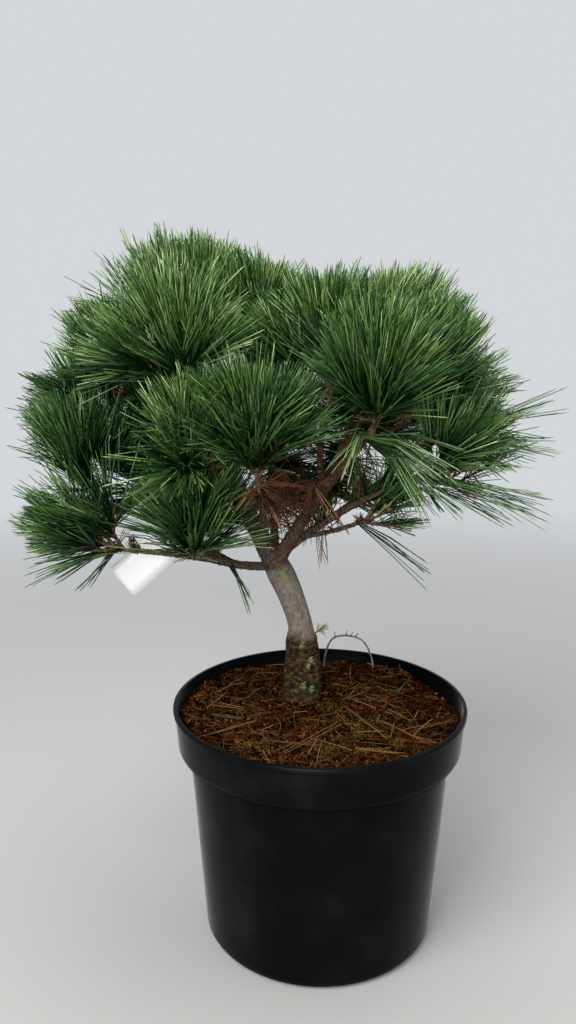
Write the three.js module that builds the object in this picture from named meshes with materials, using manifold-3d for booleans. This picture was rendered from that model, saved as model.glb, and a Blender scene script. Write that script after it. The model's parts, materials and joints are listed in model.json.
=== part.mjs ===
// Potted eastern white pine: a low, rounded, grafted plant in a round nursery container.
// Millimetres, +Z up. The origin is the centre of the container's flat underside, and the
// plant is seen from -Y in its usual view, with +X to the right.
import * as THREE from "three";
import { mergeVertices } from "three/addons/utils/BufferGeometryUtils.js";
import Module from "manifold-3d";

const wasm = await Module();
wasm.setup();

const GAP = 0.3; // clear space left between two pieces that touch
const TURN = 2 * Math.PI;
const UP = new THREE.Vector3(0, 0, 1);

// Container: a 10 litre pot, 280 mm across its lip and 230 mm high.
const POT_HEIGHT = 230;
const LIP_RADIUS = 140;
const LIP_DEPTH = 6;
const COLLAR_TOP_RADIUS = 138;
const COLLAR_RADIUS = 136;
const COLLAR_BOTTOM = 186;
const COLLAR_CORNER = 9;
const WALL_TOP_RADIUS = 124.5;
const WALL_FOOT_RADIUS = 112;
const FOOT_CORNER = 9;
const WALL = 3;
const POT_SIDES = 32;
const DRAIN_HOLES = 6;
const DRAIN_RADIUS = 6;
const DRAIN_CIRCLE = 84;

// Growing medium: its surface lies a little under the lip and dips away from the stem.
const GROUND = 218;
const LEVEL_RADIUS = 56;
const SOIL_DIP = 3.5;
const SOIL_LEAN = -0.02;
const SOIL_RINGS = 4;

// Stem: it stands behind the middle of the pot, swells below the graft and leans left to
// its fork. Each girth row is a distance along the stem and the radius there, and the flat
// cut at the ground takes off its first few millimetres.
const TRUNK_LINE = [
  [-16, 34, GROUND - 6],
  [-16.5, 32, 268],
  [-19, 29, 298],
  [-29, 26, 330],
  [-45, 21, 366],
];
const TRUNK_GIRTH = [
  [0, 18.2],
  [18, 18.7],
  [34, 18.4],
  [52, 17],
  [68, 15.4],
  [79, 12.7],
  [94, 12.1],
  [118, 12.6],
  [142, 13.6],
  [162, 11.4],
];
const TRUNK_SIDES = 14;
const ROOT_LOBES = 5;
const ROOT_LOBE_SIZE = 0.07;
const ROOT_LOBE_HEIGHT = 26;

// Foliage: a needle is drawn out of each face of a shoot's slim core.
const NEEDLE_LENGTH = 68;
const NEEDLE_ROOT = 2.2;
const NEEDLE_SPACE = 1.1;
const NEEDLE_WIDEST = 74;
const NEEDLE_NARROWEST = 16;
const STEM_LENGTH = 16;
const TWIG_LENGTH = 22;
const SHOOT_LENGTH = 28;
const SHOOT_SHARE = 0.52;
const TWIG_RADIUS = 1.6;
const CORE_RADIUS = 3.5;
const CORE_SIDES = 5;
const MASS_REACH = 116;
const GOLDEN_ANGLE = TURN * 0.381966;

// Limbs in the order they grow. Each leaves its parent at a share of the parent's length,
// passes its middle bowed by the given offset and ends at its tip, where its foliage
// starts: so many shoots, fanned by an angle in degrees about the way they aim.
const LIMBS = [
  { name: "leader_left", from: "trunk", at: 0.96, bow: [-13, -22, 6], tip: [-108, 54, 556],
    radii: [9.4, 3.2], aim: [0.15, 0.1, 1], shoots: 4, fan: 42 },
  { name: "leader_right", from: "trunk", at: 0.95, bow: [-3, -3, 3], tip: [36, -72, 494],
    radii: [6.8, 3.2], aim: [0.1, -0.35, 0.95], shoots: 4, fan: 46 },
  { name: "low_centre", from: "trunk", at: 0.94, bow: [-2, 2, -4], tip: [-101, -31, 379],
    radii: [4.4, 3.2], aim: [-0.1, -0.4, 1], shoots: 4, fan: 56 },
  { name: "low_left", from: "low_centre", at: 0.8, bow: [0, -3, 2], tip: [-168, -41, 388],
    radii: [3, 2.1], aim: [-0.95, -0.1, 0.36], shoots: 5, fan: 50 },
  { name: "left", from: "low_centre", at: 0.6, bow: [-4, 0, 6], tip: [-190, -7, 420],
    radii: [2.9, 2], aim: [-0.36, -0.05, 0.95], shoots: 4, fan: 38 },
  { name: "left_inner", from: "leader_left", at: 0.16, bow: [0, 0, 4], tip: [-134, 44, 420],
    radii: [3.2, 2], aim: [-0.75, 0.25, 0.35], shoots: 3, fan: 40, size: 0.8 },
  { name: "left_shoulder", from: "leader_left", at: 0.31, bow: [0, 0, -6], tip: [-184, 38, 476],
    radii: [4, 2.3], aim: [-0.75, 0.1, 0.5], shoots: 4, fan: 46 },
  { name: "left_upper", from: "leader_left", at: 0.47, bow: [0, -4, -6], tip: [-160, 12, 510],
    radii: [3.8, 2.2], aim: [-0.3, -0.15, 0.9], shoots: 4, fan: 34 },
  { name: "top_left", from: "leader_left", at: 0.68, bow: [-4, 4, -3], tip: [-136, 60, 556],
    radii: [3.4, 2.2], aim: [-0.38, 0.1, 0.9], shoots: 4, fan: 36 },
  { name: "top_front", from: "leader_left", at: 0.54, bow: [0, -6, -5], tip: [-120, -44, 520],
    radii: [3.6, 2.2], aim: [-0.05, -0.3, 0.95], shoots: 4, fan: 44 },
  { name: "centre_top", from: "leader_left", at: 0.61, bow: [2, 0, -5], tip: [-66, 26, 538],
    radii: [3.5, 2.2], aim: [0.35, -0.05, 0.95], shoots: 4, fan: 42 },
  { name: "centre_front", from: "leader_left", at: 0.12, bow: [2, -6, -6], tip: [-54, -78, 452],
    radii: [4, 2.4], aim: [0, -0.3, 0.95], shoots: 5, fan: 52 },
  { name: "front_left", from: "leader_left", at: 0.24, bow: [-2, -8, -4], tip: [-92, -66, 462],
    radii: [3.6, 2.2], aim: [-0.5, -0.4, 0.5], shoots: 3, fan: 44, size: 0.85 },
  { name: "right_inner_top", from: "leader_right", at: 0.6, bow: [-5, -3, -2],
    tip: [4, -32, 514], radii: [3.4, 2.2], aim: [-0.25, 0, 0.95], shoots: 4, fan: 44 },
  { name: "right_top", from: "leader_right", at: 0.4, bow: [-5, 8, -6], tip: [50, 2, 520],
    radii: [4.2, 2.4], aim: [0.15, 0, 1], shoots: 4, fan: 40 },
  { name: "right_shoulder", from: "right_top", at: 0.62, bow: [2, -2, -4],
    tip: [74, -22, 500], radii: [3, 2], aim: [0.48, -0.1, 0.86], shoots: 4, fan: 38 },
  { name: "right_low", from: "leader_right", at: 0.1, bow: [0, -4, 9], tip: [78, -30, 447],
    radii: [4.2, 2.3], aim: [0.85, -0.18, 0.2], shoots: 4, fan: 44 },
  { name: "right_outer", from: "right_low", at: 0.66, bow: [-2, 0, -6], tip: [98, 2, 474],
    radii: [3, 2], aim: [0.9, 0.06, 0.24], shoots: 4, fan: 44 },
  { name: "right_tuft", from: "right_low", at: 0.2, bow: [0, -3, -1], tip: [32, -28, 410],
    radii: [2.6, 1.9], aim: [0.9, -0.15, 0.3], shoots: 3, fan: 44, size: 0.55 },
  { name: "rear_left", from: "leader_left", at: 0.2, bow: [0, 6, -6], tip: [-124, 112, 464],
    radii: [4, 2.3], aim: [-0.5, 0.6, 0.5], shoots: 4, fan: 48 },
  { name: "rear", from: "trunk", at: 0.94, bow: [0, 4, -10], tip: [-48, 126, 440],
    radii: [4.6, 2.6], aim: [0, 0.8, 0.5], shoots: 4, fan: 50 },
  { name: "rear_right", from: "leader_right", at: 0.2, bow: [0, 4, -6], tip: [32, 100, 458],
    radii: [4.2, 2.4], aim: [0.4, 0.7, 0.5], shoots: 4, fan: 48 },
  { name: "rear_top", from: "leader_left", at: 0.57, bow: [2, 6, -6], tip: [-66, 110, 532],
    radii: [3.6, 2.2], aim: [0.1, 0.5, 0.85], shoots: 4, fan: 46 },
  { name: "rear_top_right", from: "right_top", at: 0.4, bow: [0, 4, -6], tip: [40, 76, 516],
    radii: [3.2, 2.1], aim: [0.3, 0.45, 0.85], shoots: 4, fan: 46 },
  { name: "right_rear", from: "right_low", at: 0.45, bow: [0, 4, -3], tip: [98, 54, 466],
    radii: [3.2, 2.1], aim: [0.8, 0.45, 0.35], shoots: 4, fan: 48 },
];
const LIMB_SIDES = 6;
const LIMB_RINGS = 4;

// Plain hang label: a blank strip whose loop closes round the left leader.
const LABEL_WIDTH = 35;
const LABEL_LENGTH = 130;
const LABEL_THICKNESS = 1.2;
const LABEL_END = [-182, -15, 352];
const LABEL_AT = 0.39;
const LABEL_CORNER = 3;
const LOOP_WIDTH = 9;
const LOOP_SIDES = 12;

// Small growth low down: a dead twig arched over the soil, and a sprout on the graft.
const DEAD_TWIG_LINE = [
  [8, 112],
  [32, 116, 254],
  [62, 102],
];
const DEAD_TWIG_RADIUS = 1.1;
const SPROUT_LINE = [
  [-17, 27, 286],
  [-7, 20, 288],
  [1, 16, 294],
];
const SPROUT_SIZE = 0.34;
const SPROUT_NEEDLE = 15;

const vector = ([x, y, z]) => new THREE.Vector3(x, y, z);

// Repeatable random numbers from 0 to 1.
function seeded(seed) {
  let state = seed | 0;
  return () => {
    state = (state + 0x6d2b79f5) | 0;
    let mixed = Math.imul(state ^ (state >>> 15), 1 | state);
    mixed = (mixed + Math.imul(mixed ^ (mixed >>> 7), 61 | mixed)) ^ mixed;
    return ((mixed ^ (mixed >>> 14)) >>> 0) / 4294967296;
  };
}

// A geometry with only its shared corners and faces left.
function bare(geometry) {
  const copy = geometry.clone();
  copy.deleteAttribute("normal");
  copy.deleteAttribute("uv");
  return mergeVertices(copy, 1e-4);
}

function toSolid(geometry) {
  const plain = bare(geometry);
  return new wasm.Manifold(
    new wasm.Mesh({
      numProp: 3,
      vertProperties: new Float32Array(plain.attributes.position.array),
      triVerts: new Uint32Array(plain.index.array),
    }),
  );
}

// The largest body of a solid, without the scraps that a cut can leave.
function largestBody(solid) {
  const bodies = solid.decompose();
  return bodies.reduce((best, body) => (body.volume() > best.volume() ? body : best));
}

function toGeometry(solid) {
  const mesh = solid.getMesh();
  const geometry = new THREE.BufferGeometry();
  geometry.setAttribute("position", new THREE.BufferAttribute(mesh.vertProperties, 3));
  geometry.setIndex(new THREE.BufferAttribute(mesh.triVerts, 1));
  geometry.computeVertexNormals();
  return geometry;
}

const part = new THREE.Group();

function addMesh(name, geometry, colour, roughness, group = part) {
  const material = new THREE.MeshStandardMaterial({ color: colour, roughness, metalness: 0 });
  const mesh = new THREE.Mesh(geometry, material);
  mesh.name = name;
  group.add(mesh);
  return mesh;
}

// Points on the lower outer quarter of a circle, for a rounded corner of a profile.
function corner(radius, height, size, steps = 3) {
  return Array.from({ length: steps + 1 }, (_, i) => {
    const angle = (TURN / 4) * (i / steps - 1);
    return [radius + size * Math.cos(angle), height + size * Math.sin(angle)];
  });
}

// A profile of [radius, height] turned about +Z.
function turned(profile, sides) {
  const points = profile.map(([radius, height]) => new THREE.Vector2(radius, height));
  return new THREE.LatheGeometry(points, sides).rotateX(Math.PI / 2);
}

// The inside of the container from its floor to its lip.
const POT_INSIDE = [
  [WALL_FOOT_RADIUS - WALL - 6, WALL],
  [WALL_FOOT_RADIUS - WALL, WALL + 6],
  [WALL_TOP_RADIUS - WALL, COLLAR_BOTTOM - WALL],
  [COLLAR_RADIUS - WALL, COLLAR_BOTTOM + COLLAR_CORNER],
  [COLLAR_TOP_RADIUS - WALL, POT_HEIGHT],
];

function potGeometry() {
  const profile = [
    [0, 0],
    ...corner(WALL_FOOT_RADIUS - FOOT_CORNER, FOOT_CORNER, FOOT_CORNER),
    [WALL_TOP_RADIUS, COLLAR_BOTTOM],
    ...corner(COLLAR_RADIUS - COLLAR_CORNER, COLLAR_BOTTOM + COLLAR_CORNER, COLLAR_CORNER),
    [COLLAR_TOP_RADIUS, POT_HEIGHT - LIP_DEPTH],
    [LIP_RADIUS, POT_HEIGHT - LIP_DEPTH + 1],
    [LIP_RADIUS, POT_HEIGHT - 1],
    [LIP_RADIUS - 1, POT_HEIGHT],
    ...POT_INSIDE.toReversed(),
    [0, WALL],
  ];
  let pot = toSolid(turned(profile, POT_SIDES));
  for (let i = 0; i < DRAIN_HOLES; i++) {
    const angle = (TURN * (i + 0.5)) / DRAIN_HOLES;
    const hole = new THREE.CylinderGeometry(DRAIN_RADIUS, DRAIN_RADIUS, 4 * WALL, 8);
    hole.rotateX(Math.PI / 2);
    hole.translate(DRAIN_CIRCLE * Math.cos(angle), DRAIN_CIRCLE * Math.sin(angle), 0);
    pot = pot.subtract(toSolid(hole));
  }
  return toGeometry(pot);
}

// Height of the growing medium: level round the stem, then dipping and leaning outwards.
function soilHeight(x, y) {
  const away = Math.hypot(x - TRUNK_LINE[0][0], y - TRUNK_LINE[0][1]);
  const share = THREE.MathUtils.smoothstep(away, LEVEL_RADIUS, LIP_RADIUS);
  const uneven = Math.sin(x / 21 + 1) * Math.cos(y / 27) + 0.4 * Math.sin((x + y) / 13);
  return GROUND + share * (x * SOIL_LEAN - SOIL_DIP + SOIL_DIP * uneven);
}

function soilGeometry() {
  const sides = POT_INSIDE.slice(0, -1).map(([radius, height]) => [radius - GAP, height + GAP]);
  const edge = COLLAR_RADIUS - WALL + 1 - GAP;
  const rings = Array.from({ length: SOIL_RINGS + 1 }, (_, i) =>
    [edge * (1 - i / SOIL_RINGS), GROUND]);
  const geometry = turned([[0, sides[0][1]], ...sides, ...rings], POT_SIDES);
  const places = geometry.attributes.position;
  for (let i = 0; i < places.count; i++) {
    const surface = Math.abs(places.getZ(i) - GROUND) < 1e-3;
    if (surface) places.setZ(i, soilHeight(places.getX(i), places.getY(i)));
  }
  return geometry;
}

// Bends a straight piece, turned about +Z, along a curve and straight on past its end.
function bendAlong(geometry, curve) {
  const length = curve.getLength();
  const chord = curve.getPointAt(1).sub(curve.getPointAt(0)).normalize();
  const across = Math.abs(chord.y) < 0.8 ? new THREE.Vector3(0, 1, 0) : new THREE.Vector3(1, 0, 0);
  const places = geometry.attributes.position;
  for (let i = 0; i < places.count; i++) {
    const share = THREE.MathUtils.clamp(places.getZ(i) / length, 0, 1);
    const ahead = curve.getTangentAt(share);
    const side = ahead.clone().cross(across).normalize();
    const front = ahead.clone().cross(side);
    const point = curve.getPointAt(share);
    point.addScaledVector(ahead, Math.max(0, places.getZ(i) - length));
    point.addScaledVector(side, places.getX(i));
    point.addScaledVector(front, places.getY(i));
    places.setXYZ(i, point.x, point.y, point.z);
  }
  return geometry;
}

// A tapering limb: [distance, radius] rows along a curve, flat at both ends.
function limbGeometry(curve, girth, sides, lobes = () => 1) {
  const length = girth.at(-1)[0];
  const profile = [[0, 0], ...girth.map(([distance, radius]) => [radius, distance]), [0, length]];
  const geometry = turned(profile, sides);
  const places = geometry.attributes.position;
  for (let i = 0; i < places.count; i++) {
    const [x, y, z] = [places.getX(i), places.getY(i), places.getZ(i)];
    const swell = lobes(Math.atan2(y, x), z);
    places.setXYZ(i, x * swell, y * swell, z);
  }
  return bendAlong(geometry, curve);
}

// Girth rows of an even taper: distances along the length and the radius at each.
function taper(length, [thick, thin], rings) {
  return Array.from({ length: rings + 1 }, (_, i) =>
    [(length * i) / rings, THREE.MathUtils.lerp(thick, thin, i / rings)]);
}

// The same limb, larger by the gap all round and at its end.
function fatLimb({ curve, girth, sides, lobes }) {
  const rows = girth.map(([distance, radius]) => [distance, radius + 1.1 * GAP]);
  const [length, radius] = rows.pop();
  return toSolid(limbGeometry(curve, [...rows, [length + GAP, radius]], sides, lobes));
}

// A limb's curve from its foot to its tip, its middle moved by the bow.
function bowed(foot, tip, bow) {
  const control = foot.clone().add(tip).multiplyScalar(0.5).addScaledVector(bow, 2);
  return new THREE.QuadraticBezierCurve3(foot, control, tip);
}

// Everything that a needle has to stay clear of: straight rods with a radius at each end.
const rods = [];

function rod(from, to, thick, thin, owner) {
  const way = to.clone().sub(from);
  const middle = from.clone().add(to).multiplyScalar(0.5);
  return { from, way, middle, half: way.length() / 2, thick, thin, owner };
}

function addRods(curve, [thick, thin], count, owner) {
  const radius = (share) => THREE.MathUtils.lerp(thick, thin, share);
  for (let i = 0; i < count; i++) {
    const [start, end] = [i / count, (i + 1) / count];
    const [from, to] = [curve.getPointAt(start), curve.getPointAt(end)];
    rods.push(rod(from, to, radius(start), radius(end), owner));
  }
}

// Clear distance between two rods at the closest points of their centre lines.
function clearance(a, b) {
  const far = a.middle.distanceTo(b.middle) - a.half - b.half - a.thick - b.thick;
  if (far > NEEDLE_SPACE) return far;
  const between = a.from.clone().sub(b.from);
  const [aa, ab, bb] = [a.way.dot(a.way), a.way.dot(b.way), b.way.dot(b.way)];
  const [aw, bw] = [a.way.dot(between), b.way.dot(between)];
  const spread = aa * bb - ab * ab;
  const within = (value) => THREE.MathUtils.clamp(value, 0, 1);
  let s = spread > 1e-6 ? within((ab * bw - bb * aw) / spread) : 0;
  const t = within((ab * s + bw) / bb);
  s = within((ab * t - aw) / aa);
  const apart = between.addScaledVector(a.way, s).addScaledVector(b.way, -t).length();
  const filled = THREE.MathUtils.lerp(a.thick, a.thin, s) + THREE.MathUtils.lerp(b.thick, b.thin, t);
  return apart - filled;
}

// The stem and shoots of one mass of foliage, by a seeded rule from the limb's tip.
function growShoots(limb, index) {
  const random = seeded(index + 1);
  const size = limb.size ?? 1;
  const vary = (amount) => 1 + amount * (2 * random() - 1);
  const aim = vector(limb.aim).normalize();
  const ahead = limb.curve.getTangentAt(1);
  const foot = limb.curve.getPointAt(1).addScaledVector(ahead, GAP);
  const lead = foot.clone().addScaledVector(ahead, (size * STEM_LENGTH) / 2);
  const heart = lead.clone().addScaledVector(aim, (size * STEM_LENGTH) / 2);
  const stem = new THREE.QuadraticBezierCurve3(foot, lead, heart);
  const side = new THREE.Vector3(0, 1, 0).cross(aim).normalize();
  const front = aim.clone().cross(side);
  const phase = TURN * random();
  const shoots = [];
  for (let i = 0; i < limb.shoots; i++) {
    const rank = i / (limb.shoots - 1);
    const tilt = THREE.MathUtils.degToRad(limb.fan) * Math.sqrt(1 - rank) * vary(0.15);
    const turn = phase + i * GOLDEN_ANGLE;
    const across = side.clone().multiplyScalar(Math.cos(turn));
    across.addScaledVector(front, Math.sin(turn));
    const way = aim.clone().multiplyScalar(Math.cos(tilt)).addScaledVector(across, Math.sin(tilt));
    const root = stem.getPoint(0.45 + 0.5 * rank);
    const elbow = root.clone().addScaledVector(way, size * TWIG_LENGTH * vary(0.25));
    const upward = way.clone().addScaledVector(UP, 0.35).normalize();
    const tip = elbow.clone().addScaledVector(upward, size * SHOOT_LENGTH * vary(0.15));
    shoots.push(new THREE.QuadraticBezierCurve3(root, elbow, tip));
  }
  return { stem, heart, shoots, needle: NEEDLE_LENGTH * (0.4 + 0.6 * size), thickness: 1 };
}

// Gives the needle that leaves a face of a shoot, or none where it finds no clear way.
function aimNeedle(face, rank, ahead, mass, shoot, random) {
  const [a, b, c] = face;
  const foot = a.clone().add(b).add(c).multiplyScalar(1 / 3);
  const outward = b.clone().sub(a).cross(c.clone().sub(a)).normalize();
  outward.addScaledVector(ahead, -outward.dot(ahead)).normalize();
  const angle = THREE.MathUtils.lerp(NEEDLE_WIDEST, NEEDLE_NARROWEST, rank);
  const reaches = [1, 1, 1, 0.9, 0.9, 0.8, 0.8, 0.7, 0.6, 0.5];
  for (const reach of reaches) {
    const lean = THREE.MathUtils.degToRad(angle + 16 * (random() - 0.5));
    const way = outward.clone().multiplyScalar(Math.sin(lean)).addScaledVector(ahead, Math.cos(lean));
    const twist = ahead.clone().cross(outward).multiplyScalar(0.36 * (random() - 0.5));
    way.add(twist).addScaledVector(UP, 0.08).normalize();
    const length = mass.needle * reach * (0.88 + 0.16 * random());
    const tip = foot.clone().addScaledVector(way, length);
    const needle = rod(foot, tip, mass.thickness * NEEDLE_ROOT, 0.1, shoot);
    const inside = tip.distanceTo(mass.heart) < MASS_REACH;
    const clear = rods.every((other) =>
      other.owner === shoot || other.owner === mass || clearance(needle, other) > NEEDLE_SPACE);
    if (inside && clear) return needle;
  }
  return null;
}

// A twig that ends in a shoot: a slim core with a needle drawn out of each face it can be.
function shootGeometry(mass, shoot, random) {
  const length = shoot.getLength();
  const twig = length * (1 - SHOOT_SHARE);
  const step = (length - twig) / 4;
  const thick = mass.thickness * TWIG_RADIUS;
  const core = mass.thickness * CORE_RADIUS;
  const profile = [
    [0, 0],
    [thick, 0],
    [thick, twig],
    [core, twig + step],
    [core, twig + 2 * step],
    [0.8 * core, twig + 3 * step],
    [0, length],
  ];
  const straight = bare(turned(profile, CORE_SIDES));
  const heights = Array.from({ length: straight.attributes.position.count }, (_, i) =>
    straight.attributes.position.getZ(i));
  const bent = bendAlong(straight, shoot);
  const corners = Array.from({ length: heights.length }, (_, i) =>
    new THREE.Vector3().fromBufferAttribute(bent.attributes.position, i));
  const faces = [];
  for (let i = 0; i < bent.index.count; i += 3) {
    const face = [0, 1, 2].map((k) => bent.index.getX(i + k));
    if (new Set(face).size < 3) continue;
    const height = Math.min(...face.map((k) => heights[k]));
    const rank = (face.reduce((sum, k) => sum + heights[k], 0) / 3 - twig) / (length - twig);
    const ahead = shoot.getTangentAt(THREE.MathUtils.clamp(height / length, 0, 1));
    const bears = height > twig - 0.01;
    const points = face.map((k) => corners[k]);
    const needle = bears ? aimNeedle(points, rank, ahead, mass, shoot, random) : null;
    if (!needle) {
      faces.push(face);
      continue;
    }
    rods.push(needle);
    corners.push(needle.from.clone().add(needle.way));
    const tip = corners.length - 1;
    const [a, b, c] = face;
    faces.push([a, b, tip], [b, c, tip], [c, a, tip]);
  }
  const geometry = new THREE.BufferGeometry().setFromPoints(corners);
  geometry.setIndex(faces.flat());
  return geometry;
}

const curves = new Map();
const grown = [];

// The stem: its foot is cut flat, level with the ground.
function addTrunk() {
  const curve = new THREE.CatmullRomCurve3(TRUNK_LINE.map(vector));
  const scale = curve.getLength() / TRUNK_GIRTH.at(-1)[0];
  const girth = TRUNK_GIRTH.map(([distance, radius]) => [distance * scale, radius]);
  const lobes = (angle, height) =>
    1 + ROOT_LOBE_SIZE * Math.sin(ROOT_LOBES * angle) * Math.exp(-height / ROOT_LOBE_HEIGHT);
  const below = new THREE.BoxGeometry(LIP_RADIUS, LIP_RADIUS, GROUND);
  below.translate(TRUNK_LINE[0][0], TRUNK_LINE[0][1], GROUND / 2 + GAP);
  const solid = toSolid(limbGeometry(curve, girth, TRUNK_SIDES, lobes)).subtract(toSolid(below));
  addMesh("trunk", toGeometry(solid), 0x6e6658, 0.9);
  curves.set("trunk", { curve, girth, sides: TRUNK_SIDES, lobes });
  addRods(curve, [girth[0][1], girth.at(-1)[1]], 6, "trunk");
}

// The limbs, each cut back to a thin gap from the stem and the limbs that it grows beside.
function addLimbs() {
  for (const limb of LIMBS) {
    const foot = curves.get(limb.from).curve.getPointAt(limb.at);
    const curve = bowed(foot, vector(limb.tip), vector(limb.bow));
    const girth = taper(curve.getLength(), limb.radii, LIMB_RINGS);
    let solid = toSolid(limbGeometry(curve, girth, LIMB_SIDES));
    for (const earlier of curves.values()) solid = solid.subtract(fatLimb(earlier));
    addMesh("bough_" + limb.name, toGeometry(largestBody(solid)), 0x5a4636, 0.9);
    curves.set(limb.name, { curve, girth, sides: LIMB_SIDES });
    addRods(curve, limb.radii, 8, limb.name);
    grown.push({ ...limb, curve });
  }
}

// A blank strip whose loop closes round the left leader.
function addLabel() {
  const { curve, girth } = curves.get("leader_left");
  const centre = curve.getPointAt(LABEL_AT);
  const ahead = curve.getTangentAt(LABEL_AT);
  const limbRadius = THREE.MathUtils.lerp(girth[0][1], girth.at(-1)[1], LABEL_AT);
  const radius = (limbRadius + 2 * GAP) / Math.cos(Math.PI / LOOP_SIDES);
  const loopProfile = [
    [radius, -LOOP_WIDTH / 2],
    [radius + LABEL_THICKNESS, -LOOP_WIDTH / 2],
    [radius + LABEL_THICKNESS, LOOP_WIDTH / 2],
    [radius, LOOP_WIDTH / 2],
    [radius, -LOOP_WIDTH / 2],
  ];
  const loop = turned(loopProfile, LOOP_SIDES);
  loop.applyQuaternion(new THREE.Quaternion().setFromUnitVectors(UP, ahead));
  loop.translate(centre.x, centre.y, centre.z);
  const down = vector(LABEL_END).sub(centre).normalize();
  const [half, neck] = [LABEL_WIDTH / 2, LOOP_WIDTH / 2];
  const start = radius + 0.5 * LABEL_THICKNESS;
  const shape = new THREE.Shape();
  shape.moveTo(-neck, start);
  shape.lineTo(neck, start);
  shape.lineTo(half, start + half);
  shape.lineTo(half, start + LABEL_LENGTH - LABEL_CORNER);
  shape.lineTo(half - LABEL_CORNER, start + LABEL_LENGTH);
  shape.lineTo(LABEL_CORNER - half, start + LABEL_LENGTH);
  shape.lineTo(-half, start + LABEL_LENGTH - LABEL_CORNER);
  shape.lineTo(-half, start + half);
  shape.closePath();
  const plate = new THREE.ExtrudeGeometry(shape, { depth: LABEL_THICKNESS, bevelEnabled: false });
  plate.translate(0, 0, -LABEL_THICKNESS / 2);
  const face = new THREE.Vector3(0, 1, 0).cross(down).cross(down).normalize();
  const across = down.clone().cross(face);
  plate.applyMatrix4(new THREE.Matrix4().makeBasis(across, down, face));
  plate.translate(centre.x, centre.y, centre.z);
  const label = toSolid(loop).add(toSolid(plate)).subtract(fatLimb(curves.get("leader_left")));
  addMesh("hang_label", toGeometry(largestBody(label)), 0xf2f2f0, 0.6);
  for (const share of [-1, -0.5, 0, 0.5, 1]) {
    const from = centre.clone().addScaledVector(across, share * half).addScaledVector(down, start);
    rods.push(rod(from, from.clone().addScaledVector(down, LABEL_LENGTH), 4, 4, "hang_label"));
  }
}

// The masses of needles: all stems and cores first, so that every needle stays clear of them.
function addFoliage() {
  const masses = grown.map((limb, index) => ({ limb, index, ...growShoots(limb, index) }));
  for (const mass of masses) {
    addRods(mass.stem, [2.4, 1.8], 2, mass);
    for (const shoot of mass.shoots) addRods(shoot, [2, CORE_RADIUS], 3, shoot);
  }
  for (const mass of masses) {
    const random = seeded(1000 + mass.index);
    const thick = mass.limb.radii[1];
    const girth = taper(mass.stem.getLength(), [thick, 0.75 * thick], 2);
    let solid = toSolid(limbGeometry(mass.stem, girth, CORE_SIDES));
    for (const shoot of mass.shoots) solid = solid.add(toSolid(shootGeometry(mass, shoot, random)));
    addMesh("needles_" + mass.limb.name, toGeometry(solid), 0x2f5a33, 0.6);
  }
}

// A dead twig that arches over the soil behind the stem, with both ends on it.
function addDeadTwig() {
  const lift = GAP + DEAD_TWIG_RADIUS / 2;
  const [foot, top, end] = DEAD_TWIG_LINE.map(([x, y, z]) =>
    vector([x, y, z ?? soilHeight(x, y) + lift]));
  const curve = bowed(foot, end, top.clone().sub(foot.clone().add(end).multiplyScalar(0.5)));
  const girth = taper(curve.getLength(), [DEAD_TWIG_RADIUS, DEAD_TWIG_RADIUS], 8);
  addMesh("dead_twig", limbGeometry(curve, girth, 5), 0x6b4a3c, 0.9);
}

// A sprout of short needles on the right of the stem, cut back to a thin gap from it.
function addSprout() {
  const curve = new THREE.QuadraticBezierCurve3(...SPROUT_LINE.map(vector));
  const sprout = { heart: vector(SPROUT_LINE[2]), needle: SPROUT_NEEDLE, thickness: SPROUT_SIZE };
  const solid = toSolid(shootGeometry(sprout, curve, seeded(7)));
  const clear = largestBody(solid.subtract(fatLimb(curves.get("trunk"))));
  addMesh("needles_trunk_sprout", toGeometry(clear), 0x5f7a35, 0.6);
}

addMesh("pot", potGeometry(), 0x24292c, 0.55);
addMesh("soil", soilGeometry(), 0x5a3a20, 1);
addTrunk();
addLimbs();
addLabel();
addFoliage();
addDeadTwig();
addSprout();

export default part;
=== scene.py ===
"""Potted eastern white pine: the looks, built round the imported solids.

Sizes are millimetres in the part's own frame and become metres when a mesh is made. The crown
grows by the rule of the solids' source, written again here and carried on to side twigs,
bundles of five needles and buds.
"""

import json
import math
from collections import namedtuple
from itertools import product

import bpy
import numpy as np
from mathutils import Euler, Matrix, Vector

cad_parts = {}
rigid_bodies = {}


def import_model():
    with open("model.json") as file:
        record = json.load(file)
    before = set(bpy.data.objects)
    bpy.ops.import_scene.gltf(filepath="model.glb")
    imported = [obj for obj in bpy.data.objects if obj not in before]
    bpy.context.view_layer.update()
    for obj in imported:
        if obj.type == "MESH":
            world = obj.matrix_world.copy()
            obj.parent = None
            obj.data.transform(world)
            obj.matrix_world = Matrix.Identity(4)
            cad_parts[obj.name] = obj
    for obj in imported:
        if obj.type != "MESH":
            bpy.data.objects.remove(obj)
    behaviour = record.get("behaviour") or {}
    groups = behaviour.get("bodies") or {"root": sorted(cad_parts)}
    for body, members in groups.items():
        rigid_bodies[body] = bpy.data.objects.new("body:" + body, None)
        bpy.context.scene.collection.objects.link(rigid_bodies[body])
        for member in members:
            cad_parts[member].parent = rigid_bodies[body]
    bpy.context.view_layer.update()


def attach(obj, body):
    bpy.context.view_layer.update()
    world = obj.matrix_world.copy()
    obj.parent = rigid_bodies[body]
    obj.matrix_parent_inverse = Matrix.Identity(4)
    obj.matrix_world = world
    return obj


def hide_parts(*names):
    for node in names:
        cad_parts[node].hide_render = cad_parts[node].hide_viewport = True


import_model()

MM = 0.001
TURN = 2 * math.pi
GOLDEN_ANGLE = TURN * 0.381966
GAP = 0.3
UP = np.array([0.0, 0.0, 1.0])

# Driving sizes, as in the solids' source.

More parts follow.
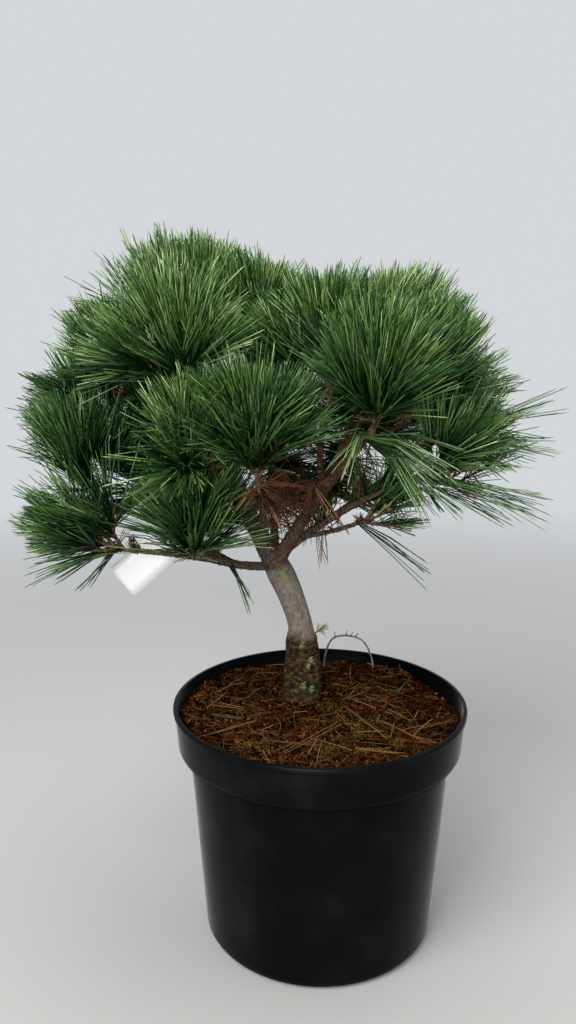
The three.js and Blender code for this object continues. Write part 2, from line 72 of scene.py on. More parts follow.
POT_HEIGHT = 230
LIP_RADIUS = 140
LIP_DEPTH = 6
COLLAR_TOP_RADIUS = 138
COLLAR_RADIUS = 136
COLLAR_BOTTOM = 186
COLLAR_CORNER = 9
WALL_TOP_RADIUS = 124.5
WALL_FOOT_RADIUS = 112
FOOT_CORNER = 9
WALL = 3
DRAIN_HOLES = 6
DRAIN_RADIUS = 6
DRAIN_CIRCLE = 84

GROUND = 218
LEVEL_RADIUS = 56
SOIL_DIP = 3.5
SOIL_LEAN = -0.02

TRUNK_LINE = [(-16, 34, GROUND - 6), (-16.5, 32, 268), (-19, 29, 298), (-29, 26, 330), (-45, 21, 366)]
TRUNK_GIRTH = [(0, 18.2), (18, 18.7), (34, 18.4), (52, 17), (68, 15.4), (79, 12.7), (94, 12.1),
               (118, 12.6), (142, 13.6), (162, 11.4)]
ROOT_LOBES = 5
ROOT_LOBE_SIZE = 0.07
ROOT_LOBE_HEIGHT = 26
GRAFT_HEIGHT = 286

STEM_LENGTH = 16
TWIG_LENGTH = 22
SHOOT_LENGTH = 28

# Limbs in the order they grow: name, parent, share of its length, bow, tip, radii at foot and tip.
Limb = namedtuple("Limb", "name parent at bow tip radii")
LIMBS = [Limb(*row) for row in (
    ("leader_left", "trunk", 0.96, (-13, -22, 6), (-108, 54, 556), (9.4, 3.2)),
    ("leader_right", "trunk", 0.95, (-3, -3, 3), (36, -72, 494), (6.8, 3.2)),
    ("low_centre", "trunk", 0.94, (-2, 2, -4), (-101, -31, 379), (4.4, 3.2)),
    ("low_left", "low_centre", 0.8, (0, -3, 2), (-168, -41, 388), (3, 2.1)),
    ("left", "low_centre", 0.6, (-4, 0, 6), (-190, -7, 420), (2.9, 2)),
    ("left_inner", "leader_left", 0.16, (0, 0, 4), (-134, 44, 420), (3.2, 2)),
    ("left_shoulder", "leader_left", 0.31, (0, 0, -6), (-184, 38, 476), (4, 2.3)),
    ("left_upper", "leader_left", 0.47, (0, -4, -6), (-160, 12, 510), (3.8, 2.2)),
    ("top_left", "leader_left", 0.68, (-4, 4, -3), (-136, 60, 556), (3.4, 2.2)),
    ("top_front", "leader_left", 0.54, (0, -6, -5), (-120, -44, 520), (3.6, 2.2)),
    ("centre_top", "leader_left", 0.61, (2, 0, -5), (-66, 26, 538), (3.5, 2.2)),
    ("centre_front", "leader_left", 0.12, (2, -6, -6), (-54, -78, 452), (4, 2.4)),
    ("front_left", "leader_left", 0.24, (-2, -8, -4), (-92, -66, 462), (3.6, 2.2)),
    ("right_inner_top", "leader_right", 0.6, (-5, -3, -2), (4, -32, 514), (3.4, 2.2)),
    ("right_top", "leader_right", 0.4, (-5, 8, -6), (50, 2, 520), (4.2, 2.4)),
    ("right_shoulder", "right_top", 0.62, (2, -2, -4), (74, -22, 500), (3, 2)),
    ("right_low", "leader_right", 0.1, (0, -4, 9), (78, -30, 447), (4.2, 2.3)),
    ("right_outer", "right_low", 0.66, (-2, 0, -6), (98, 2, 474), (3, 2)),
    ("right_tuft", "right_low", 0.2, (0, -3, -1), (32, -28, 410), (2.6, 1.9)),
    ("rear_left", "leader_left", 0.2, (0, 6, -6), (-124, 112, 464), (4, 2.3)),
    ("rear", "trunk", 0.94, (0, 4, -10), (-48, 126, 440), (4.6, 2.6)),
    ("rear_right", "leader_right", 0.2, (0, 4, -6), (32, 100, 458), (4.2, 2.4)),
    ("rear_top", "leader_left", 0.57, (2, 6, -6), (-66, 110, 532), (3.6, 2.2)),
    ("rear_top_right", "right_top", 0.4, (0, 4, -6), (40, 76, 516), (3.2, 2.1)),
    ("right_rear", "right_low", 0.45, (0, 4, -3), (98, 54, 466), (3.2, 2.1)),
)]

# The needles are joined in one piece for each side of the crown.
REGIONS = {
    "left": ["low_centre", "low_left", "left", "left_inner", "left_shoulder", "left_upper"],
    "top": ["leader_left", "top_left", "top_front", "centre_top", "right_inner_top"],
    "front": ["centre_front", "front_left", "leader_right", "right_tuft", "right_low"],
    "right": ["right_top", "right_shoulder", "right_outer", "right_rear", "rear_top_right"],
    "rear": ["rear_left", "rear", "rear_right", "rear_top"],
}

# Photo's view: a pinhole at this place in the part's frame.

CAMERA_PLACE = (-30.3, -810.5, 584.6)
CAMERA_PITCH = 11.88
FOCAL_PIXELS = 900
PICTURE_LONG_SIDE = 1024

# Every plain colour gives back this share of the strong studio lights.
GIVEN_BACK = 0.64

SENSOR = 36


# Arithmetic.

def unit(ways):
    """Ways of length one."""
    ways = np.asarray(ways, float)
    return ways / np.linalg.norm(ways, axis=-1, keepdims=True)


def lerp(start, end, share):
    return start + (end - start) * share


def joined(rows):
    """Rows of arrays as one row of longer arrays."""
    return [np.concatenate(column) for column in zip(*rows)]


def reference_side(ways, lengths=1.0):
    """+Y for each way, or +X for one that runs near Y."""
    return np.where(np.abs(ways[..., 1:2]) < 0.8 * lengths, [0.0, 1.0, 0.0], [1.0, 0.0, 0.0])


def sides_of(ways, reference=None):
    """Two sides of each way, square to it and to each other."""
    side = unit(np.cross(ways, reference_side(ways) if reference is None else reference))
    return side, np.cross(ways, side)


def turned(sides, turn):
    """The way between two such sides, at an angle about their axis."""
    turn = np.asarray(turn)[..., None]
    return sides[0] * np.cos(turn) + sides[1] * np.sin(turn)


def square_to(out, ahead):
    """Ways of length one that lead out, made square to those ahead."""
    return unit(out - ahead * np.sum(out * ahead, axis=1, keepdims=True))


def noise(points, size, seed=0):
    """Smooth repeatable noise from -1 to 1 at rows of points, with features of that size."""
    scaled = np.asarray(points, float) / size + 0.37
    cell = np.floor(scaled).astype(np.int64)
    part = scaled - cell
    part = part * part * (3 - 2 * part)
    total = np.zeros(len(scaled))
    for step in product((0, 1), repeat=3):
        x, y, z = (cell + step).T
        mixed = (x * 73856093 ^ y * 19349663 ^ z * 83492791 ^ seed * 2654435761) & 0xFFFFFFFF
        mixed = ((mixed ^ (mixed >> 13)) * 1274126177) & 0xFFFFFFFF
        value = ((mixed ^ (mixed >> 16)) & 0xFFFF) / 32767.5 - 1
        total += value * np.prod(np.where(step, part, 1 - part), axis=1)
    return total


def layered(points, size, seed=0, layers=3):
    """Noise with finer and fainter noise on top of it."""
    return sum(noise(points, size / 2 ** i, seed + i) / 2 ** i for i in range(layers))


def smoothstep(value, low, high):
    share = np.clip((value - low) / (high - low), 0, 1)
    return share * share * (3 - 2 * share)


def seeded(seed):
    """Repeatable random numbers from 0 to 1, the same as in the solids' source."""
    mask = 0xFFFFFFFF
    state = seed & mask

    def draw():
        nonlocal state
        state = (state + 0x6D2B79F5) & mask
        mixed = ((state ^ (state >> 15)) * (1 | state)) & mask
        mixed = ((mixed + (mixed ^ (mixed >> 7)) * (61 | mixed)) & mask) ^ mixed
        return (mixed ^ (mixed >> 14)) / 4294967296

    return draw


# Curves.

# A line's way is read between two points, this share of its length to either side.
WAY_STEP = 0.004


class Line:
    """A smooth line in space, read by the share of its length."""

    def __init__(self, points):
        self.points = np.asarray(points, float)
        steps = np.linalg.norm(np.diff(self.points, axis=0), axis=1)
        self.along = np.concatenate([[0], np.cumsum(steps)])
        self.length = self.along[-1]

    def at(self, share):
        distance = np.clip(share, 0, 1) * self.length
        return np.stack([np.interp(distance, self.along, self.points[:, k]) for k in range(3)], -1)

    def ahead(self, share):
        share = np.clip(share, WAY_STEP, 1 - WAY_STEP)
        return unit(self.at(share + WAY_STEP) - self.at(share - WAY_STEP))


def bezier_point(foot, control, tip, t):
    t = np.asarray(t, float)[..., None]
    return (1 - t) ** 2 * foot + 2 * t * (1 - t) * control + t ** 2 * tip


def bezier(foot, control, tip, steps=64):
    return Line(bezier_point(foot, control, tip, np.linspace(0, 1, steps + 1)))


def bowed(foot, tip, bow):
    """A limb's line from its foot to its tip, its middle moved by the bow."""
    return bezier(foot, (foot + tip) / 2 + 2 * np.asarray(bow, float), tip)


def smooth_line(points, steps=40):
    """A centripetal Catmull-Rom line through the points."""
    points = np.asarray(points, float)
    ends = [2 * points[0] - points[1], *points, 2 * points[-1] - points[-2]]
    t = (np.arange(steps) / steps)[:, None]
    drawn = []
    for before, start, end, after in zip(ends, ends[1:], ends[2:], ends[3:]):
        a, b, c = (math.sqrt(np.linalg.norm(q - p))
                   for p, q in ((before, start), (start, end), (end, after)))
        leave = ((start - before) / a - (end - before) / (a + b) + (end - start) / b) * b
        arrive = ((end - start) / b - (after - start) / (b + c) + (after - end) / c) * b
        square = -3 * start + 3 * end - 2 * leave - arrive
        cube = 2 * start - 2 * end + leave + arrive
        drawn.append(start + leave * t + square * t ** 2 + cube * t ** 3)
    return Line(np.concatenate([*drawn, points[-1:]]))


# Meshes.

def add_object(name, data):
    made = bpy.data.objects.new(name, data)
    bpy.context.scene.collection.objects.link(made)
    return made


class Pile:
    """Triangles gathered from many small meshes, each with the number of its material."""

    def __init__(self):
        self.vertices, self.faces, self.kinds, self.count = [], [], [], 0

    def add(self, vertices, faces, kinds=0):
        self.vertices.append(vertices)
        self.faces.append(faces + self.count)
        self.kinds.append(np.broadcast_to(kinds, len(faces)))
        self.count += len(vertices)


def add_piece(name, pile, materials, replaces=(), smooth=True):
    """A piece of the object made of a pile's triangles."""
    vertices = np.concatenate(pile.vertices) * MM
    faces = np.concatenate(pile.faces)
    mesh = bpy.data.meshes.new(name)
    mesh.vertices.add(len(vertices))
    mesh.vertices.foreach_set("co", vertices.astype(np.float32).ravel())
    mesh.loops.add(3 * len(faces))
    mesh.loops.foreach_set("vertex_index", faces.astype(np.int32).ravel())
    mesh.polygons.add(len(faces))
    mesh.polygons.foreach_set("loop_start", np.arange(0, 3 * len(faces), 3, dtype=np.int32))
    mesh.polygons.foreach_set("material_index", np.concatenate(pile.kinds).astype(np.int32))
    mesh.polygons.foreach_set("use_smooth", np.full(len(faces), smooth))
    mesh.update(calc_edges=True)
    for material in materials:
        mesh.materials.append(material)
    piece = add_object(name, mesh)
    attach(piece, "root")
    if replaces:
        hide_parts(*replaces)
    return piece


def skin(count, around, closed=False):
    """Triangles over that many rings of points; a closed skin ends in its first ring."""
    ring, place = np.mgrid[0:count if closed else count - 1, 0:around]
    here, beside = ring * around + place, ring * around + (place + 1) % around
    above = (ring + 1) % count * around
    halves = (here, beside, above + (place + 1) % around), (here, above + (place + 1) % around, above + place)
    return np.concatenate([np.stack(half, -1).reshape(-1, 3) for half in halves])


def loft(rows, ends=None):
    """A closed mesh through rings of points, capped at both ends."""
    count, around = rows.shape[:2]
    place = np.arange(around)
    after, last, foot = (place + 1) % around, (count - 1) * around, np.full(around, count * around)
    caps = (foot, after, place), (foot + 1, place + last, after + last)
    faces = [skin(count, around), *(np.stack(cap, -1) for cap in caps)]
    ends = rows[[0, -1]].mean(axis=1) if ends is None else ends
    return np.concatenate([rows.reshape(-1, 3), ends]), np.concatenate(faces)


def tube(line, shares, radii, sides):
    """Vertices and triangles of a tube along a line: one radius a ring, or one a vertex."""
    centres, ahead = line.at(shares), line.ahead(shares)
    side, front = sides_of(ahead, reference_side(unit(centres[-1] - centres[0])))
    across = turned((side[:, None], front[:, None]), TURN * np.arange(sides) / sides)
    radii = np.broadcast_to(np.reshape(radii, (len(shares), -1)), (len(shares), sides))
    return loft(centres[:, None] + across * radii[..., None], centres[[0, -1]])


def thin_tube(line, steps, foot, tip, sides):
    """A plain tube that tapers evenly from its foot to its tip."""
    return tube(line, np.linspace(0, 1, steps), np.linspace(foot, tip, steps), sides)


def blade(heights, radii, sides=3):
    """A small closed mesh up Z with rings of these radii, pointed at 1."""
    turn = TURN * np.arange(sides) / sides
    rings = [(r * math.cos(a), r * math.sin(a), h) for h, r in zip(heights, radii) for a in turn]
    tip = len(rings)
    faces = []
    for start in range(0, tip - sides, sides):
        for i in range(sides):
            here, beside = start + i, start + (i + 1) % sides
            faces += [(here, beside, beside + sides), (here, beside + sides, here + sides)]
    faces += [(tip - sides + i, tip - sides + (i + 1) % sides, tip) for i in range(sides)]
    faces += [(0, i + 1, i) for i in range(1, sides - 1)]
    return np.array(rings + [(0, 0, 1)], float), np.array(faces)


def scatter(pile, template, places, ways, widths, kinds, bends=None, inward=None):
    """Copies of a small mesh at many places, each stood along its way and bent."""
    vertices, faces = template
    if inward is None:
        inward = reference_side(ways, np.linalg.norm(ways, axis=1, keepdims=True))
    widths = np.broadcast_to(widths, len(places))[:, None]
    across = unit(np.cross(ways, inward)) * widths
    inner = unit(np.cross(across, ways)) * widths
    axes = np.stack([inner, across, ways], 1)
    copies = places[:, None] + np.einsum("vk,nkc->nvc", vertices, axes)
    if bends is not None:
        copies += bends[:, None] * vertices[None, :, 2:] ** 2
    moved = faces[None] + len(vertices) * np.arange(len(places))[:, None, None]
    kinds = np.broadcast_to(kinds, len(places)) if np.ndim(kinds) < 2 else kinds
    kinds = np.repeat(kinds, len(faces)) if kinds.ndim == 1 else kinds.ravel()
    pile.add(copies.reshape(-1, 3), moved.reshape(-1, 3), kinds)


# Materials.

def new_material(name, colour, roughness, **inputs):
    """A material with these values on its shader's own sockets."""
    colour = GIVEN_BACK * np.array(colour)
    material = bpy.data.materials.new(name)
    material.use_nodes = True
    shader = material.node_tree.nodes["Principled BSDF"]
    shader.inputs["Base Color"].default_value = (*colour, 1)
    shader.inputs["Roughness"].default_value = roughness
    for key, value in inputs.items():
        shader.inputs[key.replace("_", " ")].default_value = value
    return material


def add_node(tree, kind, **inputs):
    """A shader node with these values and links on its sockets."""
    node = tree.nodes.new("ShaderNode" + kind)
    for key, value in inputs.items():
        socket = node.inputs[key.replace("_", " ")]
        if isinstance(value, bpy.types.NodeSocket):
            tree.links.new(value, socket)
        else:
            socket.default_value = value
    return node


def add_place(tree, stretch=(1, 1, 1)):
    """Places on the piece, stretched for a pattern."""
    place = add_node(tree, "TexCoord").outputs["Object"]
    return add_node(tree, "Mapping", Vector=place, Scale=stretch).outputs["Vector"]


def add_noise(tree, place, size, detail=8):
    """Noise with features of that size in mm."""
    return add_node(tree, "TexNoise", Vector=place, Scale=1 / (size * MM), Detail=detail).outputs["Fac"]


def add_ramp(tree, factor, stops):
    """Colours by a factor, from rows of position and colour."""
    ramp = add_node(tree, "ValToRGB", Fac=factor)
    elements = ramp.color_ramp.elements
    while len(elements) < len(stops):
        elements.new(0.5)
    for element, (position, colour) in zip(elements, stops):
        element.position, element.color = position, (*(GIVEN_BACK * np.array(colour)), 1)
    return ramp.outputs["Color"]


def add_blend(tree, factor, first, second):
    """The first colour where the factor is 0, the second where it is 1."""
    mix = tree.nodes.new("ShaderNodeMix")
    mix.data_type = "RGBA"
    for key, output in (("Factor", factor), ("A", first), ("B", second)):
        tree.links.new(output, mix.inputs[key])
    return mix.outputs["Result"]


def add_fade(tree, value, low, high, **ends):
    """A smooth rise from 0 to 1, or between other ends, while a value passes from low to high."""
    fade = add_node(tree, "MapRange", Value=value, From_Min=low, From_Max=high, **ends)
    fade.interpolation_type = "SMOOTHSTEP"
    return fade.outputs["Result"]


def add_height_fade(tree, low, high, uneven=0):
    """From 0 below one height to 1 above another, in mm, on a border that wanders by so much."""
    place = add_place(tree)
    height = tree.nodes.new("ShaderNodeMath")
    height.operation = "MULTIPLY_ADD"
    height.inputs[1].default_value = uneven * MM
    tree.links.new(add_noise(tree, place, 14, 2), height.inputs[0])
    tree.links.new(add_node(tree, "SeparateXYZ", Vector=place).outputs["Z"], height.inputs[2])
    low, high = (low + uneven / 2) * MM, (high + uneven / 2) * MM
    return add_fade(tree, height.outputs["Value"], low, high)


def mottled(name, colours, size, roughness, bump, bump_size, stretch=(1, 1, 1), edges=(0.3, 0.7),
            detail=8, over=None, **inputs):
    """A material whose colour wanders between tones over that size in mm, finely bumped."""
    material = new_material(name, colours[0], roughness, **inputs)
    tree = material.node_tree
    place = add_place(tree, stretch)
    stops = [(lerp(*edges, i / (len(colours) - 1)), colour) for i, colour in enumerate(colours)]
    colour = add_ramp(tree, add_noise(tree, place, size, detail), stops)
    if over:
        colour = over(tree, colour)
    relief = add_node(tree, "Bump", Strength=bump, Distance=bump_size * MM,
                      Height=add_noise(tree, place, bump_size, 5))
    shader = tree.nodes["Principled BSDF"]
    tree.links.new(colour, shader.inputs["Base Color"])
    tree.links.new(relief.outputs["Normal"], shader.inputs["Normal"])
    return material


# Camera, light and floor.

def make_camera():
    data = bpy.data.cameras.new("photo_view")
    data.sensor_width = SENSOR
    data.lens = SENSOR * FOCAL_PIXELS / PICTURE_LONG_SIDE
    data.clip_start, data.clip_end = 0.01, 50
    camera = add_object("photo_view", data)
    camera.location = Vector(CAMERA_PLACE) * MM
    camera.rotation_euler = Euler((math.radians(90 - CAMERA_PITCH), 0, 0))
    bpy.context.scene.camera = camera


# Lights that face the crown: place and width in metres, and power.
LIGHTS = {"key": ((-0.9, -1.2, 2.0), 1.2, 92), "front": ((-0.4, -1.9, 0.8), 0.9, 42),
          "side": ((1.4, -0.7, 1.3), 1.2, 12), "top": ((0.1, 0.4, 2.2), 1.5, 40)}
LIT_PLACE = Vector((0, 0, 0.42))


def make_light(name, place, size, power):
    data = bpy.data.lights.new(name, "AREA")
    data.size, data.energy = size, power
    light = add_object(name, data)
    light.location = place
    light.rotation_euler = (LIT_PLACE - Vector(place)).to_track_quat("-Z", "Y").to_euler()


FLOOR_HALF = 3.0
FLOOR_FADE = (0.55, 2.4)


def make_floor():
    """A pale floor that fades into the background."""
    mesh = bpy.data.meshes.new("floor")
    corners = [(-1, -1), (1, -1), (1, 1), (-1, 1)]
    mesh.from_pydata([(x * FLOOR_HALF, y * FLOOR_HALF, 0) for x, y in corners], [], [(0, 1, 2, 3)])
    floor = add_object("floor", mesh)
    material = new_material("pale_floor", (0.345, 0.342, 0.330), 0.8)
    tree = material.node_tree
    distance = tree.nodes.new("ShaderNodeVectorMath")
    distance.operation = "LENGTH"
    tree.links.new(add_place(tree), distance.inputs[0])
    fade = add_fade(tree, distance.outputs["Value"], *FLOOR_FADE, To_Min=1, To_Max=0)
    tree.links.new(fade, tree.nodes["Principled BSDF"].inputs["Alpha"])
    mesh.materials.append(material)


STUDIO_COLOUR = (0.655, 0.675, 0.705, 1)


def make_stage():
    make_camera()
    make_floor()
    world = bpy.data.worlds.new("studio")
    world.use_nodes = True
    background = world.node_tree.nodes["Background"]
    background.inputs["Color"].default_value = STUDIO_COLOUR
    background.inputs["Strength"].default_value = 1.0
    bpy.context.scene.world = world
    for name, row in LIGHTS.items():
        make_light(name, *row)
    bpy.context.scene.view_settings.view_transform = "Standard"


# Pot.

def corner(radius, height, size, steps=8):
    """Points on the lower outer quarter of a circle, for a rounded corner of a profile."""
    return [(radius + size * math.cos(a), height + size * math.sin(a))
            for a in (TURN / 4 * (i / steps - 1) for i in range(steps + 1))]


POT_INSIDE = [
    (WALL_FOOT_RADIUS - WALL - 6, WALL),
    (WALL_FOOT_RADIUS - WALL, WALL + 6),
    (WALL_TOP_RADIUS - WALL, COLLAR_BOTTOM - WALL),
    (COLLAR_RADIUS - WALL, COLLAR_BOTTOM + COLLAR_CORNER),
    (COLLAR_TOP_RADIUS - WALL + 1, POT_HEIGHT),
]


def lathe(profile, sides):
    """Vertices and triangles of a closed profile of (radius, height) turned about +Z."""
    radius, height = np.array(profile, float).T[..., None]
    turn = TURN * np.arange(sides) / sides
    vertices = np.stack([radius * np.cos(turn), radius * np.sin(turn), height + 0 * turn], -1)
    return vertices.reshape(-1, 3), skin(len(profile), sides)


def drill(piece, holes):
    """Cuts round holes through a piece's floor: (x, y, radius) rows in millimetres."""
    for x, y, radius in holes:
        bpy.ops.mesh.primitive_cylinder_add(vertices=32, radius=radius * MM, depth=6 * WALL * MM,
                                            location=(x * MM, y * MM, 0))
        cutter = bpy.context.object
        cut = piece.modifiers.new("hole", "BOOLEAN")
        cut.operation, cut.object, cut.solver = "DIFFERENCE", cutter, "EXACT"
        bpy.context.view_layer.objects.active = piece
        bpy.ops.object.modifier_apply(modifier=cut.name)
        bpy.data.objects.remove(cutter)


POT_SIDES = 144
# Faces turned down further than this take the plastic's shaded copy: painted shade.
SHADE_FACING = -0.35
SHARP_DEGREES = 40


def make_pot():
    profile = [
        (0.01, 0),
        *corner(WALL_FOOT_RADIUS - FOOT_CORNER, FOOT_CORNER, FOOT_CORNER),
        (WALL_TOP_RADIUS - 1.5, COLLAR_BOTTOM - 22),
        (WALL_TOP_RADIUS, COLLAR_BOTTOM - 1),
        (WALL_TOP_RADIUS + 1, COLLAR_BOTTOM),
        *corner(COLLAR_RADIUS - COLLAR_CORNER, COLLAR_BOTTOM + COLLAR_CORNER, COLLAR_CORNER),
        (COLLAR_TOP_RADIUS, POT_HEIGHT - LIP_DEPTH),
        (LIP_RADIUS - 0.6, POT_HEIGHT - LIP_DEPTH + 0.5),
        (LIP_RADIUS, POT_HEIGHT - LIP_DEPTH + 1.4),
        (LIP_RADIUS, POT_HEIGHT - 1.6),
        (LIP_RADIUS - 0.5, POT_HEIGHT - 0.5),
        (LIP_RADIUS - 1.6, POT_HEIGHT),
        *POT_INSIDE[::-1],
        (0.01, WALL),
        (0.01, 0),
    ]
    pile = Pile()
    pile.add(*lathe(profile, POT_SIDES))
    charcoal = [(0.0008, 0.0012, 0.0016), (0.0018, 0.0023, 0.0028), (0.005, 0.0058, 0.0064)]
    plastic = mottled("charcoal_plastic", charcoal, 55, 0.36, 0.10, 1.4, edges=(0.42, 0.72),
                      Specular_IOR_Level=0.045, Sheen_Weight=0.24, Sheen_Roughness=0.22)
    # A copy of the plastic without its sheen, on the faces that face down: painted shade that keeps the
    # collar's lower edge and the foot dark.
    shaded = mottled("charcoal_shaded_underside", charcoal, 55, 0.6, 0.10, 1.4, edges=(0.42, 0.72),
                     Specular_IOR_Level=0.02)
    pot = add_piece("pot_shell", pile, [plastic, shaded], ["pot"])
    mesh = pot.data
    for face in mesh.polygons:
        if face.normal.z < SHADE_FACING:
            face.material_index = 1
    mesh.validate()
    drill(pot, [(DRAIN_CIRCLE * math.cos(a), DRAIN_CIRCLE * math.sin(a), DRAIN_RADIUS)
                for a in (TURN * (i + 0.5) / DRAIN_HOLES for i in range(DRAIN_HOLES))])
    mesh.set_sharp_from_angle(angle=math.radians(SHARP_DEGREES))


# Soil.

def soil_height(x, y):
    """Level round the stem, then dipping and leaning outwards."""
    away = np.hypot(x - TRUNK_LINE[0][0], y - TRUNK_LINE[0][1])
    share = smoothstep(away, LEVEL_RADIUS, LIP_RADIUS)
    uneven = np.sin(x / 21 + 1) * np.cos(y / 27) + 0.4 * np.sin((x + y) / 13)
    return GROUND + share * (x * SOIL_LEAN - SOIL_DIP + SOIL_DIP * uneven)


def soil_relief(x, y):
    """Height of the crumbly surface, with its heaps and hollows."""
    flat = np.stack([x, y, np.zeros_like(x)], -1)
    heaps = 2.2 * noise(flat, 19, 3) + 1.5 * noise(flat, 8, 4) + 1.0 * noise(flat, 3.6, 5)
    banked = (4.0 + 2.5 * noise(flat, 34, 6)) * smoothstep(np.hypot(x, y), 92, 130)
    return soil_height(x, y) + heaps + banked - 0.6


def on_soil(x, y, lift):
    """Points at that height over the crumbly surface."""
    return np.stack([x, y, soil_relief(x, y) + lift], -1)


def spread_over_disc(random, count, radius):
    """X and Y of places spread evenly over a disc."""
    away, turn = radius * np.sqrt(random.uniform(0, 1, count)), random.uniform(0, TURN, count)
    return away * np.cos(turn), away * np.sin(turn)


def damp(places, random):
    """True in the damper patches, which are darker."""
    return noise(places * (1, 1, 0), 26, 9) + random.normal(0, 0.3, len(places)) > 0.22


def add_bits(name, pile, colours, roughness=0.9, shine=0.02):
    """A piece of loose bits on the soil, with one plain material for each colour."""
    materials = [new_material(key, colour, roughness, Specular_IOR_Level=shine)
                 for key, colour in colours.items()]
    add_piece(name, pile, materials, smooth=False)


# The bed is turned round a thin hole on its axis, out to its edge at the pot's wall.
SOIL_CORE = 0.6
SOIL_EDGE = COLLAR_RADIUS - WALL + 1 - GAP
SOIL_SIDES = 260
SOIL_RINGS = 96
CRUMBS = 5200
FIBRES = 5200
PEAT_COLOURS = {"peat_dark": (0.003, 0.0007, 0.0002), "peat_rust": (0.050, 0.013, 0.002),
                "coir_tan": (0.130, 0.050, 0.012), "peat_olive": (0.045, 0.030, 0.006)}


def make_soil():
    random = np.random.RandomState(21)
    profile = [(SOIL_CORE, WALL + GAP), *[(r - GAP, h + GAP) for r, h in POT_INSIDE[:-1]],
               *[(r, GROUND) for r in np.linspace(SOIL_EDGE, SOIL_CORE, SOIL_RINGS)]]
    vertices, faces = lathe(profile + [profile[0]], SOIL_SIDES)
    top = np.abs(vertices[:, 2] - GROUND) < 1e-6
    vertices[top, 2] = soil_relief(vertices[top, 0], vertices[top, 1])
    pile = Pile()
    pile.add(vertices, faces)
    peat = mottled("moist_peat", [(0.0025, 0.0006, 0.0002), (0.013, 0.0036, 0.0009), (0.062, 0.022, 0.005)],
                   7, 0.95, 0.9, 1.6, edges=(0.36, 0.68), detail=10, Specular_IOR_Level=0.02)
    add_piece("soil_bed", pile, [peat], ["soil"])

    crumbs = Pile()
    x, y = spread_over_disc(random, CRUMBS, SOIL_EDGE - 2)
    size = 0.5 + 1.0 * random.uniform(0, 1, CRUMBS) ** 2
    places = on_soil(x, y, -0.5 * size)
    ways = unit(random.normal(0, 1, (CRUMBS, 3)) + 0.3 * UP) * (3.2 * size)[:, None]
    kinds = random.choice(4, CRUMBS, p=[0.34, 0.33, 0.21, 0.12])
    kinds = np.where(damp(places, random), 0, kinds)
    scatter(crumbs, blade((0, 0.45), (0.6, 1), 5), places, ways, size, kinds)

    x, y = spread_over_disc(random, FIBRES, SOIL_EDGE - 6)
    turn = random.uniform(0, TURN, FIBRES)
    length = 4 + 13 * random.uniform(0, 1, FIBRES) ** 2
    rise = random.normal(0.12, 0.22, FIBRES)
    places = on_soil(x, y, 0.3)
    ways = unit(np.stack([np.cos(turn), np.sin(turn), rise], -1)) * length[:, None]
    bends = random.normal(0, 0.22, (FIBRES, 3)) * length[:, None]
    bends[:, 2] -= (ways[:, 2] + 0.6)
    ends = places + ways + bends
    inside = np.hypot(ends[:, 0], ends[:, 1]) < SOIL_EDGE - 2
    thick = random.uniform(0.28, 0.62, FIBRES)
    kinds = random.choice(4, FIBRES, p=[0.24, 0.38, 0.26, 0.12])
    kinds = np.where(damp(places, random) & (kinds > 1), 1, kinds)
    hair = blade((0, 0.4, 0.8), (1, 1, 0.8))
    scatter(crumbs, hair, places[inside], ways[inside], thick[inside], kinds[inside], bends[inside])
    add_bits("soil_crumbs", crumbs, PEAT_COLOURS)
    make_moss(random)
    make_litter(random)


# Patches of moss: X, Y, spread and tufts.
MOSS_PATCHES = [(40, -36, 34, 1500), (66, -62, 24, 700), (12, -74, 20, 380), (-58, -80, 18, 260),
                (14, 6, 16, 260), (96, -20, 20, 260)]
MOSS_COLOURS = {"moss_deep": (0.022, 0.024, 0.003), "moss_olive": (0.060, 0.052, 0.007),
                "moss_yellow": (0.115, 0.085, 0.013)}
MOSS_EDGE = 126


def make_moss(random):
    """Low olive moss in patches at the front right and by the stem."""
    pile = Pile()
    tuft = blade((0, 0.5), (1, 0.8))
    for x, y, spread, count in MOSS_PATCHES:
        px = x + random.normal(0, spread / 2, count)
        py = y + random.normal(0, spread / 2.6, count)
        keep = (np.hypot(px, py) < MOSS_EDGE) & (noise(np.stack([px, py, 0 * px], -1), 9, 8) > -0.15)
        px, py = px[keep], py[keep]
        places = on_soil(px, py, -0.3)
        ways = unit(random.normal(0, 0.55, (len(px), 3)) + UP) * random.uniform(1.2, 3.0, (len(px), 1))
        scatter(pile, tuft, places, ways, random.uniform(0.25, 0.5, len(px)), random.choice(3, len(px)))
    add_bits("soil_moss", pile, MOSS_COLOURS)


# Fallen needles that show as long straws on the soil: two ends in X and Y.
STRAWS = [((-54, -66), (3, -68)), ((-37, -94), (21, -31)), ((85, -31), (130, -20)), ((25, 9), (60, -58)),
          ((57, -16), (95, -77)), ((-112, -58), (-59, -21)), ((-18, 47), (2, 108)), ((81, -48), (104, -74)),
          ((29, -68), (67, -90)), ((-78, -68), (-40, -92))]
GREEN_STRAWS = [((-103, -14), (-72, -18)), ((-51, 71), (-49, 35)), ((98, 76), (81, 45)),
                ((-128, -22), (-104, -30)), ((88, -62), (112, -40)), ((-70, 30), (-62, 52))]


STRAW_COLOURS = {"straw_tan": (0.225, 0.118, 0.038), "straw_rust": (0.120, 0.042, 0.012),
                 "straw_green": (0.040, 0.066, 0.026)}
STRAW_RADIUS = 0.38
STRAW_LIFT = 1.8
LITTER_LIFT = 1.2
LITTER_RADIUS = 0.34
LITTER = 150
CLEAR_OF_STEM = 24


